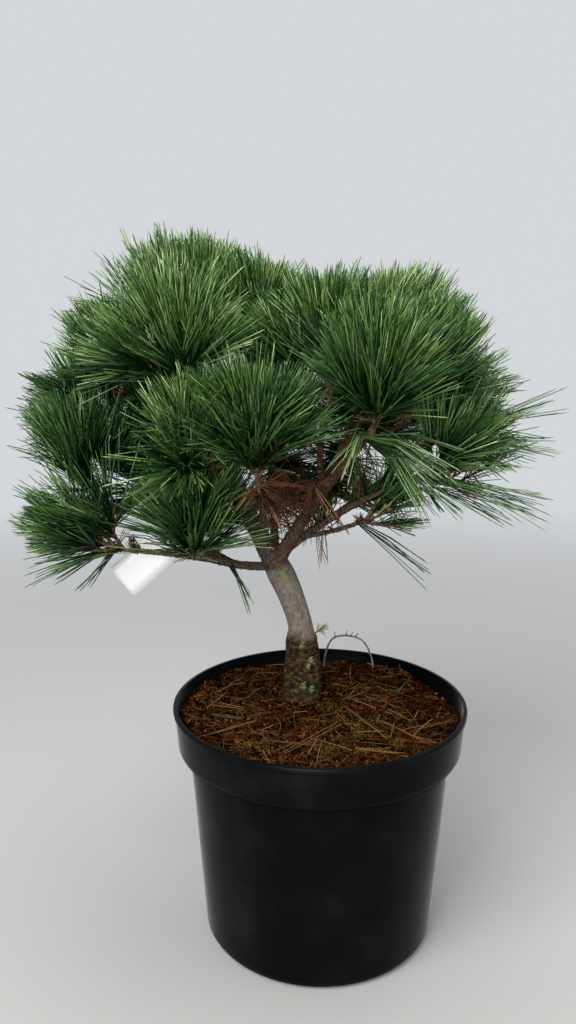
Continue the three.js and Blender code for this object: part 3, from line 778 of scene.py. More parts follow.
def make_litter(random):
    """Dead needles on the soil: the straws that show, and loose bundles of others."""
    pile = Pile()
    straw = blade((0, 0.25, 0.5, 0.75, 0.95), (0.8, 1, 1, 1, 0.8))
    for rows, kinds in ((STRAWS, (0, 1)), (GREEN_STRAWS, (2,))):
        starts, ends = np.array(rows, float).transpose(1, 0, 2)
        for twin in range(2):
            a = starts + random.normal(0, 1.5 * twin, starts.shape)
            b = ends + random.normal(0, 3.0 * twin, ends.shape)
            places, tips = (on_soil(*p.T, STRAW_LIFT) for p in (a, b))
            ways = tips - places
            bends = np.cross(ways, UP) * random.normal(0, 0.10, (len(a), 1))
            scatter(pile, straw, places, ways - bends, STRAW_RADIUS,
                    random.choice(kinds, len(a)), bends)
    x, y = spread_over_disc(random, LITTER, SOIL_EDGE - 5)
    turn = random.uniform(0, TURN, LITTER)
    length = random.uniform(10, 46, LITTER)
    places = on_soil(x, y, LITTER_LIFT)
    tips = places + np.stack([length * np.cos(turn), length * np.sin(turn), 0 * turn], -1)
    tips = on_soil(*tips[:, :2].T, LITTER_LIFT)
    tips[:, 2] += 2.5 * random.uniform(0, 1, LITTER) ** 2
    inside = np.hypot(tips[:, 0], tips[:, 1]) < SOIL_EDGE - 3
    keep = inside & (np.hypot(x - TRUNK_LINE[0][0], y - TRUNK_LINE[0][1]) > CLEAR_OF_STEM)
    ways = (tips - places)[keep]
    bends = np.cross(ways, UP) * random.normal(0, 0.14, (keep.sum(), 1))
    scatter(pile, straw, places[keep], ways - bends, LITTER_RADIUS,
            random.choice(3, keep.sum(), p=[0.5, 0.42, 0.08]), bends)
    add_bits("needle_litter", pile, STRAW_COLOURS, 0.65, 0.2)


# Trunk and boughs.

def bark_relief(radius, turn, along):
    """A function that gives bark noise round a stem of that radius and along it."""
    place = np.stack(np.broadcast_arrays(radius * np.cos(turn), radius * np.sin(turn), along[:, None]), -1)
    place = place.reshape(-1, 3)

    def relief(stretch, size, seed, layers=1):
        return layered(place * stretch, size, seed, layers).reshape(len(along), len(turn))

    return relief


TRUNK_RINGS = 230
TRUNK_SIDES = 128


def make_trunk(line):
    """The stem with its swelling, its rough foot below the graft and its smooth bark above."""
    shares = np.linspace(0, 1, TRUNK_RINGS)
    scale = line.length / TRUNK_GIRTH[-1][0]
    distance, radius = np.array(TRUNK_GIRTH, float).T
    along = shares * line.length
    girth = np.interp(along, distance * scale, radius)
    girth = np.convolve(np.pad(girth, 6, mode="edge"), np.full(13, 1 / 13), mode="valid")
    turn = TURN * np.arange(TRUNK_SIDES) / TRUNK_SIDES
    flare = 1 + ROOT_LOBE_SIZE * np.sin(ROOT_LOBES * turn) * np.exp(-along / ROOT_LOBE_HEIGHT)[:, None]
    relief = bark_relief(14, turn, along)
    height = line.at(shares)[:, 2][:, None] + 3 * relief(1, 16, 2)
    low = 1 - smoothstep(height, GRAFT_HEIGHT - 7, GRAFT_HEIGHT + 7)
    plates = relief((1, 1, 0.45), 6.5, 11, 3)
    bands = relief((0.5, 0.5, 1.9), 6, 31, 3)
    fine = relief((0.6, 0.6, 2.4), 2.4, 41)
    streaks = relief((1, 1, 0.22), 2.6, 61, 2)
    rough = 0.75 * np.abs(plates) + 0.55 * bands + 0.22 * fine
    calm = 0.05 * streaks + 0.09 * fine + 0.40 * relief(1, 22, 51)
    lip = 0.6 * np.exp(-((height - GRAFT_HEIGHT + 3) / 3.5) ** 2)
    radii = girth[:, None] * flare + lerp(calm, rough, low) + lip - 0.4
    pile = Pile()
    pile.add(*tube(line, shares, radii, TRUNK_SIDES))
    bark = mottled("trunk_bark", FOOT_BARK, 5, 0.9, 0.6, 1.1, stretch=(1, 1, 1.6), edges=(0.34, 0.70),
                   over=trunk_tones, Specular_IOR_Level=0.05)
    add_piece("trunk_bark", pile, [bark], ["trunk"])
    make_lichen(line, radii)


FOOT_BARK = [(0.009, 0.005, 0.002), (0.032, 0.020, 0.009), (0.090, 0.070, 0.030)]
SMOOTH_BARK = [(0.28, (0.105, 0.082, 0.064)), (0.42, (0.175, 0.142, 0.117)),
               (0.60, (0.232, 0.196, 0.164)), (0.76, (0.310, 0.278, 0.240))]
BLOTCHED_BARK = [(0.38, (0.030, 0.021, 0.016)), (0.66, (0.175, 0.140, 0.112))]
# Heights between which the bark turns blotched, and how far that border wanders.
BLOTCHES_FADE = (338, 372, 26)
GRAFT_FADE = 9


def trunk_tones(tree, foot):
    """Dark mossy bark below the graft, grey-brown bark above, blotched near the fork."""
    smooth = add_ramp(tree, add_noise(tree, add_place(tree, (1, 1, 0.7)), 3.6), SMOOTH_BARK)
    blotched = add_ramp(tree, add_noise(tree, add_place(tree, (1, 1, 1.3)), 6), BLOTCHED_BARK)
    upper = add_blend(tree, add_height_fade(tree, *BLOTCHES_FADE), smooth, blotched)
    graft = add_height_fade(tree, GRAFT_HEIGHT - GRAFT_FADE, GRAFT_HEIGHT + GRAFT_FADE, 2 * GRAFT_FADE)
    return add_blend(tree, graft, foot, upper)


# Green marks on the stem: distance along it, angle about it in degrees, width, height, kind.
LICHENS = [(68, 268, 4.0, 5.0, 0), (46, 290, 3.0, 4.5, 0), (26, 272, 3.4, 4.5, 0), (52, 302, 4.0, 5.0, 1),
           (143, 288, 4.5, 7.5, 2), (146, 280, 3.5, 5.0, 2), (22, 300, 3.0, 3.5, 0)]


FLAKES = 34


def make_lichen(line, radii):
    """Small crusts of lichen and moss, seated on the bark."""
    random = np.random.RandomState(5)
    pile = Pile()
    flake = blade((0, 0.6), (1, 0.8), 5)
    for along, degrees, width, height, kind in LICHENS:
        distance = along + random.normal(0, height / 2.6, FLAKES)
        angle = math.radians(degrees) + random.normal(0, width / 2.6, FLAKES) / 15
        shares = np.clip(distance / line.length, 0, 1)
        radial = np.stack([np.cos(angle), np.sin(angle), 0 * angle], -1)
        radial = square_to(radial, line.ahead(shares))
        radius = radii[(shares * (len(radii) - 1)).astype(int)].mean(axis=1)
        places = line.at(shares) + radial * (radius - 0.3)[:, None]
        ways = unit(radial + random.normal(0, 0.35, (FLAKES, 3))) * random.uniform(0.7, 1.5, (FLAKES, 1))
        scatter(pile, flake, places, ways, random.uniform(0.5, 1.1, FLAKES), kind)
    tones = [new_material("lichen_green", (0.112, 0.160, 0.038), 0.9),
             new_material("lichen_pale", (0.150, 0.148, 0.090), 0.9),
             new_material("moss_bright", (0.17, 0.24, 0.05), 0.85)]
    add_piece("lichen", pile, tones, smooth=False)


def limb_bark(pile, line, radii_ends, sides, step, seed, relief=0.5, collar=0.35):
    """One tapering limb with a collar at its foot and bark's relief."""
    shares = np.linspace(0, 1, max(4, int(line.length / step)))
    along = shares * line.length
    thick = lerp(*radii_ends, shares)
    thick = (thick * (1 + collar * np.exp(-along / (1.4 * radii_ends[0]))))[:, None]
    bark = bark_relief(3, TURN * np.arange(sides) / sides, along)
    knots = bark((1, 1, 1.2), 5.5, seed)
    scars = bark((0.8, 0.8, 2.0), 2.6, seed + 7)
    lumpy = bark((0.3, 0.3, 1), 11, seed + 9)
    radii = thick + relief * (0.45 * knots + 0.45 * scars + 0.4 * lumpy)
    pile.add(*tube(line, shares, np.maximum(radii, 0.3 * thick), sides))


# A limb with a foot thicker than this is one of the two leaders.
LEADER_RADIUS = 6


def make_boughs(lines):
    pile = Pile()
    for index, limb in enumerate(LIMBS):
        relief = 0.35 + 0.04 * limb.radii[0]
        sides = 28 if limb.radii[0] > LEADER_RADIUS else 18
        limb_bark(pile, lines[limb.name], limb.radii, sides, 1.4, 100 + 13 * index, relief)
    add_scars(pile, lines)
    bark = mottled("bough_bark", OUTER_BARK, BOUGH_GRAIN, 0.9, 0.8, 0.9, stretch=BOUGH_STRETCH,
                   edges=(0.30, 0.74), over=bough_tones, Specular_IOR_Level=0.08)
    add_piece("boughs_bark", pile, [bark], ["bough_" + limb.name for limb in LIMBS])


def add_scars(pile, lines):
    """Stubs of old needle bundles and bark flakes, which make the boughs rough."""
    random = np.random.RandomState(31)
    stub = blade((0, 0.55), (1, 0.75), 4)
    for limb in LIMBS:
        line = lines[limb.name]
        count = int(line.length * (1.5 if limb.radii[0] > LEADER_RADIUS else 1.1))
        shares = random.uniform(0.05, 1, count)
        centres, ahead = line.at(shares), line.ahead(shares)
        out = square_to(random.normal(0, 1, (count, 3)), ahead)
        thick = lerp(*limb.radii, shares)[:, None]
        ways = unit(out + 0.9 * ahead) * random.uniform(0.9, 2.4, (count, 1))
        scatter(pile, stub, centres + out * (thick - 0.4), ways, random.uniform(0.35, 0.75, count), 0)


BOUGH_GRAIN = 2.0
BOUGH_STRETCH = (1, 1, 0.8)
INNER_BARK = [(0.36, (0.024, 0.015, 0.010)), (0.66, (0.135, 0.100, 0.074))]
OUTER_BARK = [(0.013, 0.006, 0.003), (0.060, 0.029, 0.015), (0.150, 0.085, 0.050)]
OUTER_FADE = (385, 450)


def bough_tones(tree, outer):
    """Grey-brown near the fork, darker and redder further out."""
    inner = add_ramp(tree, add_noise(tree, add_place(tree, BOUGH_STRETCH), BOUGH_GRAIN), INNER_BARK)
    return add_blend(tree, add_height_fade(tree, *OUTER_FADE), inner, outer)


# Foliage.

BUNDLES = 29
SIDE_TWIGS = 3
SIDE_BUNDLES = 15
SHOOT_PART = 0.76
SIDE_LENGTH = 18
SIDE_PART = 0.92
SIDE_BARE = 0.20
SIDE_TURN = (34, 52)
# How far bundles lean from their twig, in degrees, from the foot to the tip.
SHOOT_LEAN = (44, 5)
SIDE_LEAN = (38, 6)
NEEDLE = 80
NEEDLE_RADIUS = 0.49
BROWN_RADIUS = 0.36
SHORTEST = 0.70

# Plain needle colours. The next two tables give, for each tone, the tone near a needle's tip, one step
# lighter (painted light), and near its root, darker (painted shade inside the bundles); its inner faces are
# lighter, tinted by its pale bands.
DEEP, COOL, MID, FRESH, YELLOW, LIGHT, PALE = range(7)
TONES = [(0.002, 0.008, 0.001), (0.008, 0.035, 0.006), (0.022, 0.070, 0.010), (0.053, 0.124, 0.018),
         (0.125, 0.200, 0.038), (0.270, 0.335, 0.145), (0.110, 0.185, 0.062)]
TIP_LIT_TONE = np.array([COOL, MID, FRESH, YELLOW, LIGHT, LIGHT, PALE])
ROOT_SHADED_TONE = np.array([DEEP, DEEP, COOL, COOL, MID, FRESH, FRESH])
INNER_LIFT = 1.3
INNER_TINT = (0.30, 0.20, 0.40)

# Each mass: the way it aims, its main shoots, their fan in degrees and its size, then how far
# its needles reach, their share of bundles, how strongly they turn right and up, the lowest
# that they point, how much lighter they are (painted light; below 0, painted shade on the masses
# that lie in the crown's shade) and the share of its shoots that is bare.
Habit = namedtuple("Habit", "aim shoots fan size reach density turn lift lowest light bare",
                   defaults=((0, 0, 1), 4, 44, 1, 114, 1, 0.0, 0.16, -0.05, 0.0, 0.30))
HABITS = {name: Habit(*row) for name, row in {
    "leader_left": ((0.15, 0.1, 1), 4, 42, 1, 124, 1, 0, 0.22, -0.12, -0.04),
    "leader_right": ((0.1, -0.35, 0.95), 4, 46, 1, 126, 1, 0.06, 0.18, -0.14, -0.13),
    "low_centre": ((-0.1, -0.4, 1), 4, 56, 1, 110, 1.15, 0.02, 0.3, 0.14, 0.08),
    "low_left": ((-0.95, -0.1, 0.36), 5, 50, 1, 118, 1, -0.22, 0.02, -0.14, -0.04, 0.38),
    "left": ((-0.36, -0.05, 0.95), 4, 38, 1, 112, 1, -0.16, 0.3, 0.1, -0.1, 0.66),
    "left_inner": ((-0.75, 0.25, 0.35), 3, 40, 0.8, 84, 0.9, 0, 0.1, -0.05, -0.36),
    "left_shoulder": ((-0.75, 0.1, 0.5), 4, 46, 1, 130, 0.95, -0.14, 0.24, -0.1, -0.2),
    "left_upper": ((-0.3, -0.15, 0.9), 4, 34, 1, 122, 1, -0.08, 0.18, -0.25, -0.04),
    "top_left": ((-0.38, 0.1, 0.9), 4, 36, 1, 134, 1, -0.08, 0.28, 0.12, -0.05),
    "top_front": ((-0.05, -0.3, 0.95), 4, 44, 1, 114, 1, -0.1, 0.12, -0.35, -0.02),
    "centre_top": ((0.35, -0.05, 0.95), 4, 42, 1, 112, 1, 0, 0.25, -0.1, -0.1),
    "centre_front": ((0, -0.3, 0.95), 5, 52, 1, 116, 0.9, 0, 0.28, -0.02, -0.08),
    "front_left": ((-0.5, -0.4, 0.5), 3, 44, 0.85, 94, 0.95, 0.22, 0.3, 0, 0.05, 0.4),
    "right_inner_top": ((-0.25, 0, 0.95), 4, 44, 1, 128, 1, 0, 0.24, -0.05, -0.08),
    "right_top": ((0.15, 0, 1), 4, 40, 1, 140, 1.15, 0.12, 0.28, 0),
    "right_shoulder": ((0.48, -0.1, 0.86), 4, 38, 1, 132, 1, 0.12, 0.26, 0.15, -0.02),
    "right_low": ((0.85, -0.18, 0.2), 4, 44, 1, 124, 0.75, 0.2, -0.02, -0.4, 0, 0.4),
    "right_outer": ((0.9, 0.06, 0.24), 4, 44, 1, 120, 0.42, 0.2, 0, -0.3, 0, 0.45),
    "right_tuft": ((0.9, -0.15, 0.3), 3, 44, 0.55, 60, 0.5, 0.6, 0.1, -0.06),
    "rear_left": ((-0.5, 0.6, 0.5), 4, 48, 1, 110, 1.1, -0.05, 0.05, -0.2, -0.4),
    "rear": ((0, 0.8, 0.5), 4, 50, 1, 112, 1, 0, -0.25, -0.8, -0.15),
    "rear_right": ((0.4, 0.7, 0.5), 4, 48, 1, 110, 1, 0, -0.25, -0.8, -0.15),
    "rear_top": ((0.1, 0.5, 0.85), 4, 46, 1, 108, 1, 0, 0.16, -0.05, -0.1),
    "rear_top_right": ((0.3, 0.45, 0.85), 4, 46, 1, 126, 1, 0, 0.16, -0.05, -0.08),
    "right_rear": ((0.8, 0.45, 0.35), 4, 48, 1, 104, 0.8, 0, 0, -0.3, -0.18),
}.items()}
Mass = namedtuple("Mass", "limb habit bough heart stem shoots")


def grow_shoots(limb, line, index):
    """The stem and main shoots of one mass, by the solids' seeded rule."""
    draw = seeded(index + 1)
    habit = HABITS[limb.name]

    def vary(amount):
        return 1 + amount * (2 * draw() - 1)

    aim = unit(habit.aim)
    ahead = line.ahead(1)
    foot = line.at(1) + GAP * ahead
    lead = foot + ahead * habit.size * STEM_LENGTH / 2
    heart = lead + aim * habit.size * STEM_LENGTH / 2
    side = unit(np.cross((0, 1, 0), aim))
    sides = side, np.cross(aim, side)
    phase = TURN * draw()
    shoots = []
    for i in range(habit.shoots):
        rank = i / (habit.shoots - 1)
        tilt = math.radians(habit.fan) * math.sqrt(1 - rank) * vary(0.15)
        way = aim * math.cos(tilt) + turned(sides, phase + i * GOLDEN_ANGLE) * math.sin(tilt)
        root = bezier_point(foot, lead, heart, 0.45 + 0.5 * rank)
        elbow = root + way * habit.size * TWIG_LENGTH * vary(0.25)
        tip = elbow + unit(way + 0.35 * UP) * habit.size * SHOOT_LENGTH * vary(0.15)
        shoots.append(Line(bezier_point(root, elbow, tip, np.linspace(0, SHOOT_PART, 49))))
    return Mass(limb, habit, line, heart, bezier(foot - 2 * ahead, lead, heart), shoots)


def side_shoots(shoot, size, first, random):
    """Finer twigs that leave a main shoot past this share and turn the way it grows."""
    found = []
    for k in range(SIDE_TWIGS):
        share = lerp(first, 0.9, (k + random.uniform(0.1, 0.9)) / SIDE_TWIGS)
        base, ahead = shoot.at(share), shoot.ahead(share)
        out = turned(sides_of(ahead), k * GOLDEN_ANGLE + random.uniform(0, TURN))
        lean = math.radians(random.uniform(*SIDE_TURN))
        way = ahead * math.cos(lean) + out * math.sin(lean)
        length = size * SIDE_LENGTH * random.uniform(0.75, 1.25)
        elbow = base + way * length * 0.5
        tip = elbow + unit(way + 0.6 * ahead + 0.2 * UP) * length * 0.55
        found.append(bezier(base, elbow, tip, 24))
    return found


def brush(shoot, count, start, angles, habit, random):
    """Roots and ways of the needle bundles of one shoot, set in a spiral round it."""
    rank = (np.arange(count) + random.uniform(0, 1, count)) / count
    share = start + (1 - start) * rank ** 0.8
    roots, ahead = shoot.at(share), shoot.ahead(share)
    out = turned(sides_of(ahead), GOLDEN_ANGLE * np.arange(count) + random.uniform(0, TURN))
    lean = np.radians(lerp(*angles, rank) + random.normal(0, 10, count))[:, None]
    ways = ahead * np.cos(lean) + out * np.sin(lean)
    ways = unit(ways + random.normal(0, 0.15, (count, 3)) + (habit.turn, 0, habit.lift))
    ways[:, 2] = np.maximum(ways[:, 2], habit.lowest + random.normal(0, 0.06, count))
    return roots, unit(ways), ahead


# Tones by height in the crown: partly the colour of fresh growth, partly painted light from above and painted
# shade below.
CROWN_HEIGHTS = (430, 625)
MEAN_TONE = 0.39
TOP_TONE = 0.22
MIXED_TONE = 0.17
TONE_STEPS = [0.14, 0.34, 0.60, 0.84]


def needle_tones(roots, random, pale=0.0, light=0.0):
    """One plain tone for each bundle: yellower towards the crown's top, darker below; partly the fresh
    growth's own colour, partly painted light on the top and painted shade below.
    """
    height = smoothstep(roots[:, 2], *CROWN_HEIGHTS)
    value = MEAN_TONE + TOP_TONE * height + light + random.normal(0, MIXED_TONE, len(roots))
    kinds = np.digitize(value, TONE_STEPS)
    return np.where(random.uniform(0, 1, len(roots)) < pale, PALE, kinds)


TRUNK_CLEARANCE = 14
LIMB_GAP = 0.8
AT_ONCE = 4000


class Limbs:
    """Points on the limbs, to keep needles off them."""

    def __init__(self, lines):
        shares = np.linspace(0.04, 0.98, 26)
        rows = [(lines[limb.name].at(shares), lerp(*limb.radii, shares)) for limb in LIMBS]
        rows.append((lines["trunk"].at(shares), np.full(len(shares), TRUNK_CLEARANCE)))
        self.places, self.sizes = joined(rows)

    def clear(self, roots, tips):
        """True for each needle that stays off every limb."""
        free = np.ones(len(roots), bool)
        for share in (0.3, 0.5, 0.7, 0.9):
            points = lerp(roots, tips, share)
            for start in range(0, len(points), AT_ONCE):
                part = points[start:start + AT_ONCE]
                apart = np.linalg.norm(part[:, None] - self.places[None], axis=2) - self.sizes
                free[start:start + AT_ONCE] &= apart.min(axis=1) > LIMB_GAP
        return free


def fascicle_needles(roots, ways, ahead, kinds, length, random, spread=0.08, droop=0.02, vary=True):
    """Five needles for each bundle: roots, ways with length, bends, tones and inward sides."""
    count = len(roots)
    sides = sides_of(ways)
    phase = random.uniform(0, TURN, count)
    curl = random.normal(0, 0.085, (count, 3)) + 0.04 * ahead
    rows = []
    for k in range(5):
        radial = turned(sides, phase + k * TURN / 5)
        wide = spread * random.uniform(0.3, 1.6, (count, 1))
        way = unit(ways + radial * wide)
        size = length * random.uniform(0.84, 1.06, count)
        sag = droop + 0.13 * np.hypot(way[:, :1], way[:, 1:2]) ** 2 * random.uniform(0, 1, (count, 1))
        bend = (curl + random.normal(0, 0.045, (count, 3)) - sag * UP) * size[:, None]
        shades = np.clip(kinds + random.choice((-2, -1, 0, 0, 1), count), 0, LIGHT)
        shades = np.where(kinds == PALE, PALE, shades) if vary else kinds
        rows.append((roots + 0.4 * radial, way * size[:, None], bend, shades, -radial))
    return joined(rows)


def scatter_bundles(pile, template, roots, ways, ahead, kinds, length, random, spread, droop):
    """Bundles of short needles, each bundle of one tone, put straight into a pile."""
    needles = fascicle_needles(roots, ways, ahead, kinds, length, random, spread, droop, False)
    places, ways, bends, kinds, inward = needles
    scatter(pile, template, places, ways, BROWN_RADIUS, kinds, bends, inward)


def within(heart, roots, ways, bends, reach):
    """Shortens each needle that would leave its own reach from the mass's heart."""
    for _ in range(3):
        away = np.linalg.norm(roots + ways + bends - heart, axis=1)
        size = np.linalg.norm(ways, axis=1)
        share = np.clip(1 - np.maximum(away - reach, 0) / size, 0.5, 1)[:, None]
        ways, bends = ways * share, bends * share
    return ways, bends


# Reach of the crown's outline from its middle, as the front shows it, every 10 degrees from
# EDGE_START: where the needles still stand close, and their furthest tips.
MIDDLE = (-30, 480)
EDGE_START = -40
EDGE_CLOSE = [112, 138, 152, 166, 170, 168, 174, 194, 202, 198, 164, 160, 142, 148, 158, 186, 196, 200, 200,
              214, 190, 236, 222, 236, 248, 226, 152]
EDGE_FAR = [158, 180, 230, 234, 250, 238, 226, 226, 222, 218, 190, 180, 164, 166, 186, 212, 238, 250, 248,
            250, 246, 268, 264, 272, 284, 262, 178]


def seen_from_front(points):
    """Where points stand, seen from the photo's view, on the upright plane through the pot's axis."""
    eye = np.array(CAMERA_PLACE)
    share = -eye[1] / (points[:, 1] - eye[1])
    return (eye + (points - eye) * share[:, None])[:, [0, 2]]


def outline(points, luck):
    """How far points lie from the crown's middle, and how far its tufted outline lets them."""
    away = seen_from_front(points) - MIDDLE
    degrees = (np.degrees(np.arctan2(away[:, 1], away[:, 0])) - EDGE_START) % 360
    tufts = 0.5 + 0.3 * np.sin(degrees * 0.83) + 0.2 * np.sin(degrees * 1.71 + 2)
    angles = [*(10 * np.arange(len(EDGE_CLOSE))), 10 * len(EDGE_CLOSE), 350]
    close, far = (np.interp(degrees, angles, [*row, 400, 400]) for row in (EDGE_CLOSE, EDGE_FAR))
    return np.hypot(*away.T), lerp(close, far, (0.4 * tufts + 0.6 * luck) ** 1.6)


def keep_inside(roots, ways, bends, random):
    """Shortens the needles that pass the crown's outline: returns them and those that then fit."""
    luck = random.uniform(0, 1, len(roots))
    foot = outline(roots, luck)[0]
    size = np.ones(len(roots))
    for _ in range(2):
        end, limit = outline(roots + (ways + bends) * size[:, None], luck)
        passed = end > limit
        size = np.where(passed, size * np.clip((limit - foot) / np.maximum(end - foot, 1), 0, 1), size)
    fits = size > random.uniform(SHORTEST, 0.88, len(roots))
    size = np.maximum(size, SHORTEST)[:, None]
    return ways * size, bends * size, fits


# Openings that the front shows, on the same upright plane: middle, half width and height, and
# the share of needles left across them. The shaded ones keep only the lit needles out.
OPENINGS = [
    ((-205, 438), (30, 14), 0.2),
    ((-168, 398), (17, 11), 0.2),
    ((-34, 398), (14, 26), 0.1),
    ((27, 404), (23, 12), 0.0),
    ((84, 417), (20, 10), 0.25),
    ((49, 455), (13, 7), 0.3),
    ((153, 570), (12, 12), 0.25),
    ((176, 514), (10, 10), 0.5),
    ((-194, 613), (26, 8), 0.3),
    ((-255, 466), (22, 10), 0.35),
    ((-256, 444), (20, 9), 0.15),
    ((182, 446), (16, 7), 0.4),
    ((-168, 366), (24, 9), 0.0),
    ((-118, 355), (52, 11), 0.0),
    ((-58, 368), (20, 7), 0.0),
]
SHADED = [
    ((-184, 500), (24, 34), 0.1),
    ((-166, 464), (28, 16), 0.1),
    ((-20, 452), (40, 14), 0.2),
]


def out_of_openings(roots, ways, bends, kinds, random):
    """True for the needles that leave those openings clear."""
    free = np.ones(len(roots), bool)
    luck = random.uniform(0, 1, len(roots))
    for share in (0.4, 0.6, 0.8, 1.0):
        place = seen_from_front(roots + ways * share + bends * share ** 2)
        for rows, touched in ((OPENINGS, True), (SHADED, kinds > COOL)):
            for middle, half, left in rows:
                away = (place - middle) / half
                free &= (np.hypot(*away.T) > 1) | (luck < left) | ~(touched & free)
    return free


# Bundles apart from the shoots, by limb: place along it (past 1, along its mass's own stem),
# spread of their feet, bundles, way, spread of their ways, length, the share of pale ones (or,
# below 0, how much darker they all are, as painted shade) and droop.
Bundles = namedtuple("Bundles", "place loose count way spread reach tone droop", defaults=(0.02,))
APART = {
    "low_centre": [
        (0.72, 1.5, 1, (0.64, -0.15, -0.74), 0.03, 42, 0.1, 0.05),
        (0.7, 1.5, 1, (0.4, -0.15, -0.9), 0.03, 36, 0.1, 0.05),
        (1.9, 4, 9, (0.78, -0.1, 0.5), 0.18, 70, 0.1, 0.08),
        (1.9, 4, 5, (-0.88, -0.1, 0.46), 0.12, 82, 0.1, 0.06),
    ],
    "right_tuft": [
        (1, 2.5, 1, (0.74, -0.15, -0.6), 0.04, 82, 0.1, 0.05),
        (1, 2.5, 1, (0.88, -0.15, -0.36), 0.04, 66, 0.1, 0.05),
    ],
    "leader_right": [
        (1, 3, 6, (0.85, -0.28, 0.05), 0.2, 76, 0.3, 0.42),
        (1, 3, 6, (0.6, -0.28, -0.25), 0.18, 66, 0.5, 0.38),
        (1, 3, 4, (-0.16, -0.4, 0.14), 0.22, 46, 0.4, 0.85),
    ],
    "low_left": [
        (1.9, 3, 3, (-0.95, -0.2, -0.06), 0.12, 74, 0.1, 0.04),
        (1.95, 3, 3, (-0.92, -0.2, -0.2), 0.1, 64, 0.1),
        (1.95, 3, 3, (-0.78, -0.2, -0.44), 0.12, 60, 0.1),
        (1.95, 3, 2, (-0.58, -0.2, -0.56), 0.12, 50, 0.1),
    ],
    "left": [
        (1.9, 4, 8, (-0.66, -0.1, 0.82), 0.1, 88, 0, 0.08),
    ],
    "right_low": [
        (1.9, 5, 6, (0.95, -0.2, -0.11), 0.1, 100, 0.5, 0.1),
        (1.8, 6, 3, (0.88, -0.2, -0.26), 0.12, 80, 0.2, 0.05),
        (1.4, 6, 2, (0.7, -0.2, -0.5), 0.14, 44, 0.1, 0.05),
    ],
    "right_shoulder": [
        (1.9, 4, 7, (0.92, -0.05, 0.27), 0.08, 92, 0.1, 0),
    ],
    "right_outer": [
        (1.9, 4, 2, (0.95, -0.05, 0.27), 0.04, 90, 0, 0),
        (1.9, 4, 1, (1, -0.05, 0.06), 0.02, 104, 0, 0),
        (1.9, 4, 4, (0.97, -0.05, -0.14), 0.09, 98, 0, 0),
    ],
}

# Sprays of short bundles on the inner wood, which the openings also keep clear: the same values.
# Most are darker: painted shade deep inside the crown.
SPRAYS = {
    "right_low": [
        (0.34, 2, 9, (0.2, -0.35, 0.65), 0.34, 34, 0),
        (0.6, 2, 8, (0.6, 0.25, 0.6), 0.34, 42, 0),
        (0.68, 3, 12, (0.1, 0.25, 0.9), 0.3, 44, -0.1),
        (0.8, 3, 14, (0.4, 0.1, 0.7), 0.34, 52, -0.1),
        (0.97, 3, 16, (0, 0.15, 0.9), 0.4, 42, -0.2),
        (1.3, 4, 6, (0.5, -0.2, -0.45), 0.3, 32, 0),
    ],
    "right_top": [
        (0.35, 2, 7, (0.5, 0.2, -0.3), 0.34, 46, -0.3),
    ],
    "rear_left": [
        (0.55, 3, 22, (-0.3, -0.4, 0.2), 0.36, 56, -0.5),
        (0.8, 3, 26, (-0.5, -0.4, -0.1), 0.36, 60, -0.5),
        (0.98, 3, 30, (-0.5, -0.6, 0.1), 0.36, 62, -0.5),
    ],
    "left_shoulder": [
        (0.7, 3, 26, (-0.2, 0.3, -0.6), 0.36, 52, -0.6),
        (0.8, 3, 30, (0.1, 0.3, 0.6), 0.4, 52, -0.6),
        (0.95, 3, 30, (-0.1, 0.4, -0.3), 0.4, 52, -0.6),
        (0.98, 3, 30, (0.2, 0.2, 0.5), 0.4, 50, -0.6),
    ],
    "left_upper": [
        (0.97, 3, 26, (-0.35, -0.7, 0.4), 0.45, 50, -0.2),
    ],
    "leader_right": [
        (0.5, 3, 12, (-0.8, 0.2, 0.25), 0.3, 40, -0.5),
    ],
    "rear": [
        (0.55, 2, 8, (0.5, -0.25, 0.3), 0.34, 50, -0.5),
        (0.98, 2, 26, (0.6, -0.4, 0.1), 0.3, 58, -0.5),
        (0.9, 2, 16, (-0.25, -0.55, -0.35), 0.34, 44, -0.5),
        (0.8, 2, 26, (0.4, -0.4, -0.2), 0.34, 60, -0.4),
        (0.95, 2, 24, (0.7, -0.1, -0.3), 0.34, 62, -0.4),
        (0.98, 2, 26, (0.2, -0.5, 0.45), 0.34, 56, -0.5),
    ],
    "rear_right": [
        (0.45, 2, 8, (-0.5, -0.1, 0.2), 0.34, 50, -0.5),
        (0.75, 2, 26, (0, -0.5, -0.35), 0.34, 60, -0.4),
        (0.6, 2, 20, (0.6, -0.2, -0.1), 0.34, 56, -0.4),
        (0.9, 2, 26, (-0.5, -0.2, -0.5), 0.34, 62, -0.4),
        (0.9, 2, 20, (0.5, -0.2, -0.4), 0.34, 62, -0.3),
        (0.98, 2, 26, (-0.5, -0.5, 0.25), 0.34, 56, -0.5),
    ],
}


NEEDLE_SHAPE = blade((0, 0.45, 0.95), (0.9, 1, 0.85))
NEEDLE_MIDDLES = NEEDLE_SHAPE[0][NEEDLE_SHAPE[1]].mean(axis=1)
INNER_FACE = NEEDLE_MIDDLES[:, 0] > -0.2
# Faces near a needle's tip take a lighter tone (painted light), and faces near its root a darker one (painted
# shade).
LIT_TIP_FACE = NEEDLE_MIDDLES[:, 2] > 0.75
SHADED_ROOT_FACE = NEEDLE_MIDDLES[:, 2] < 0.35


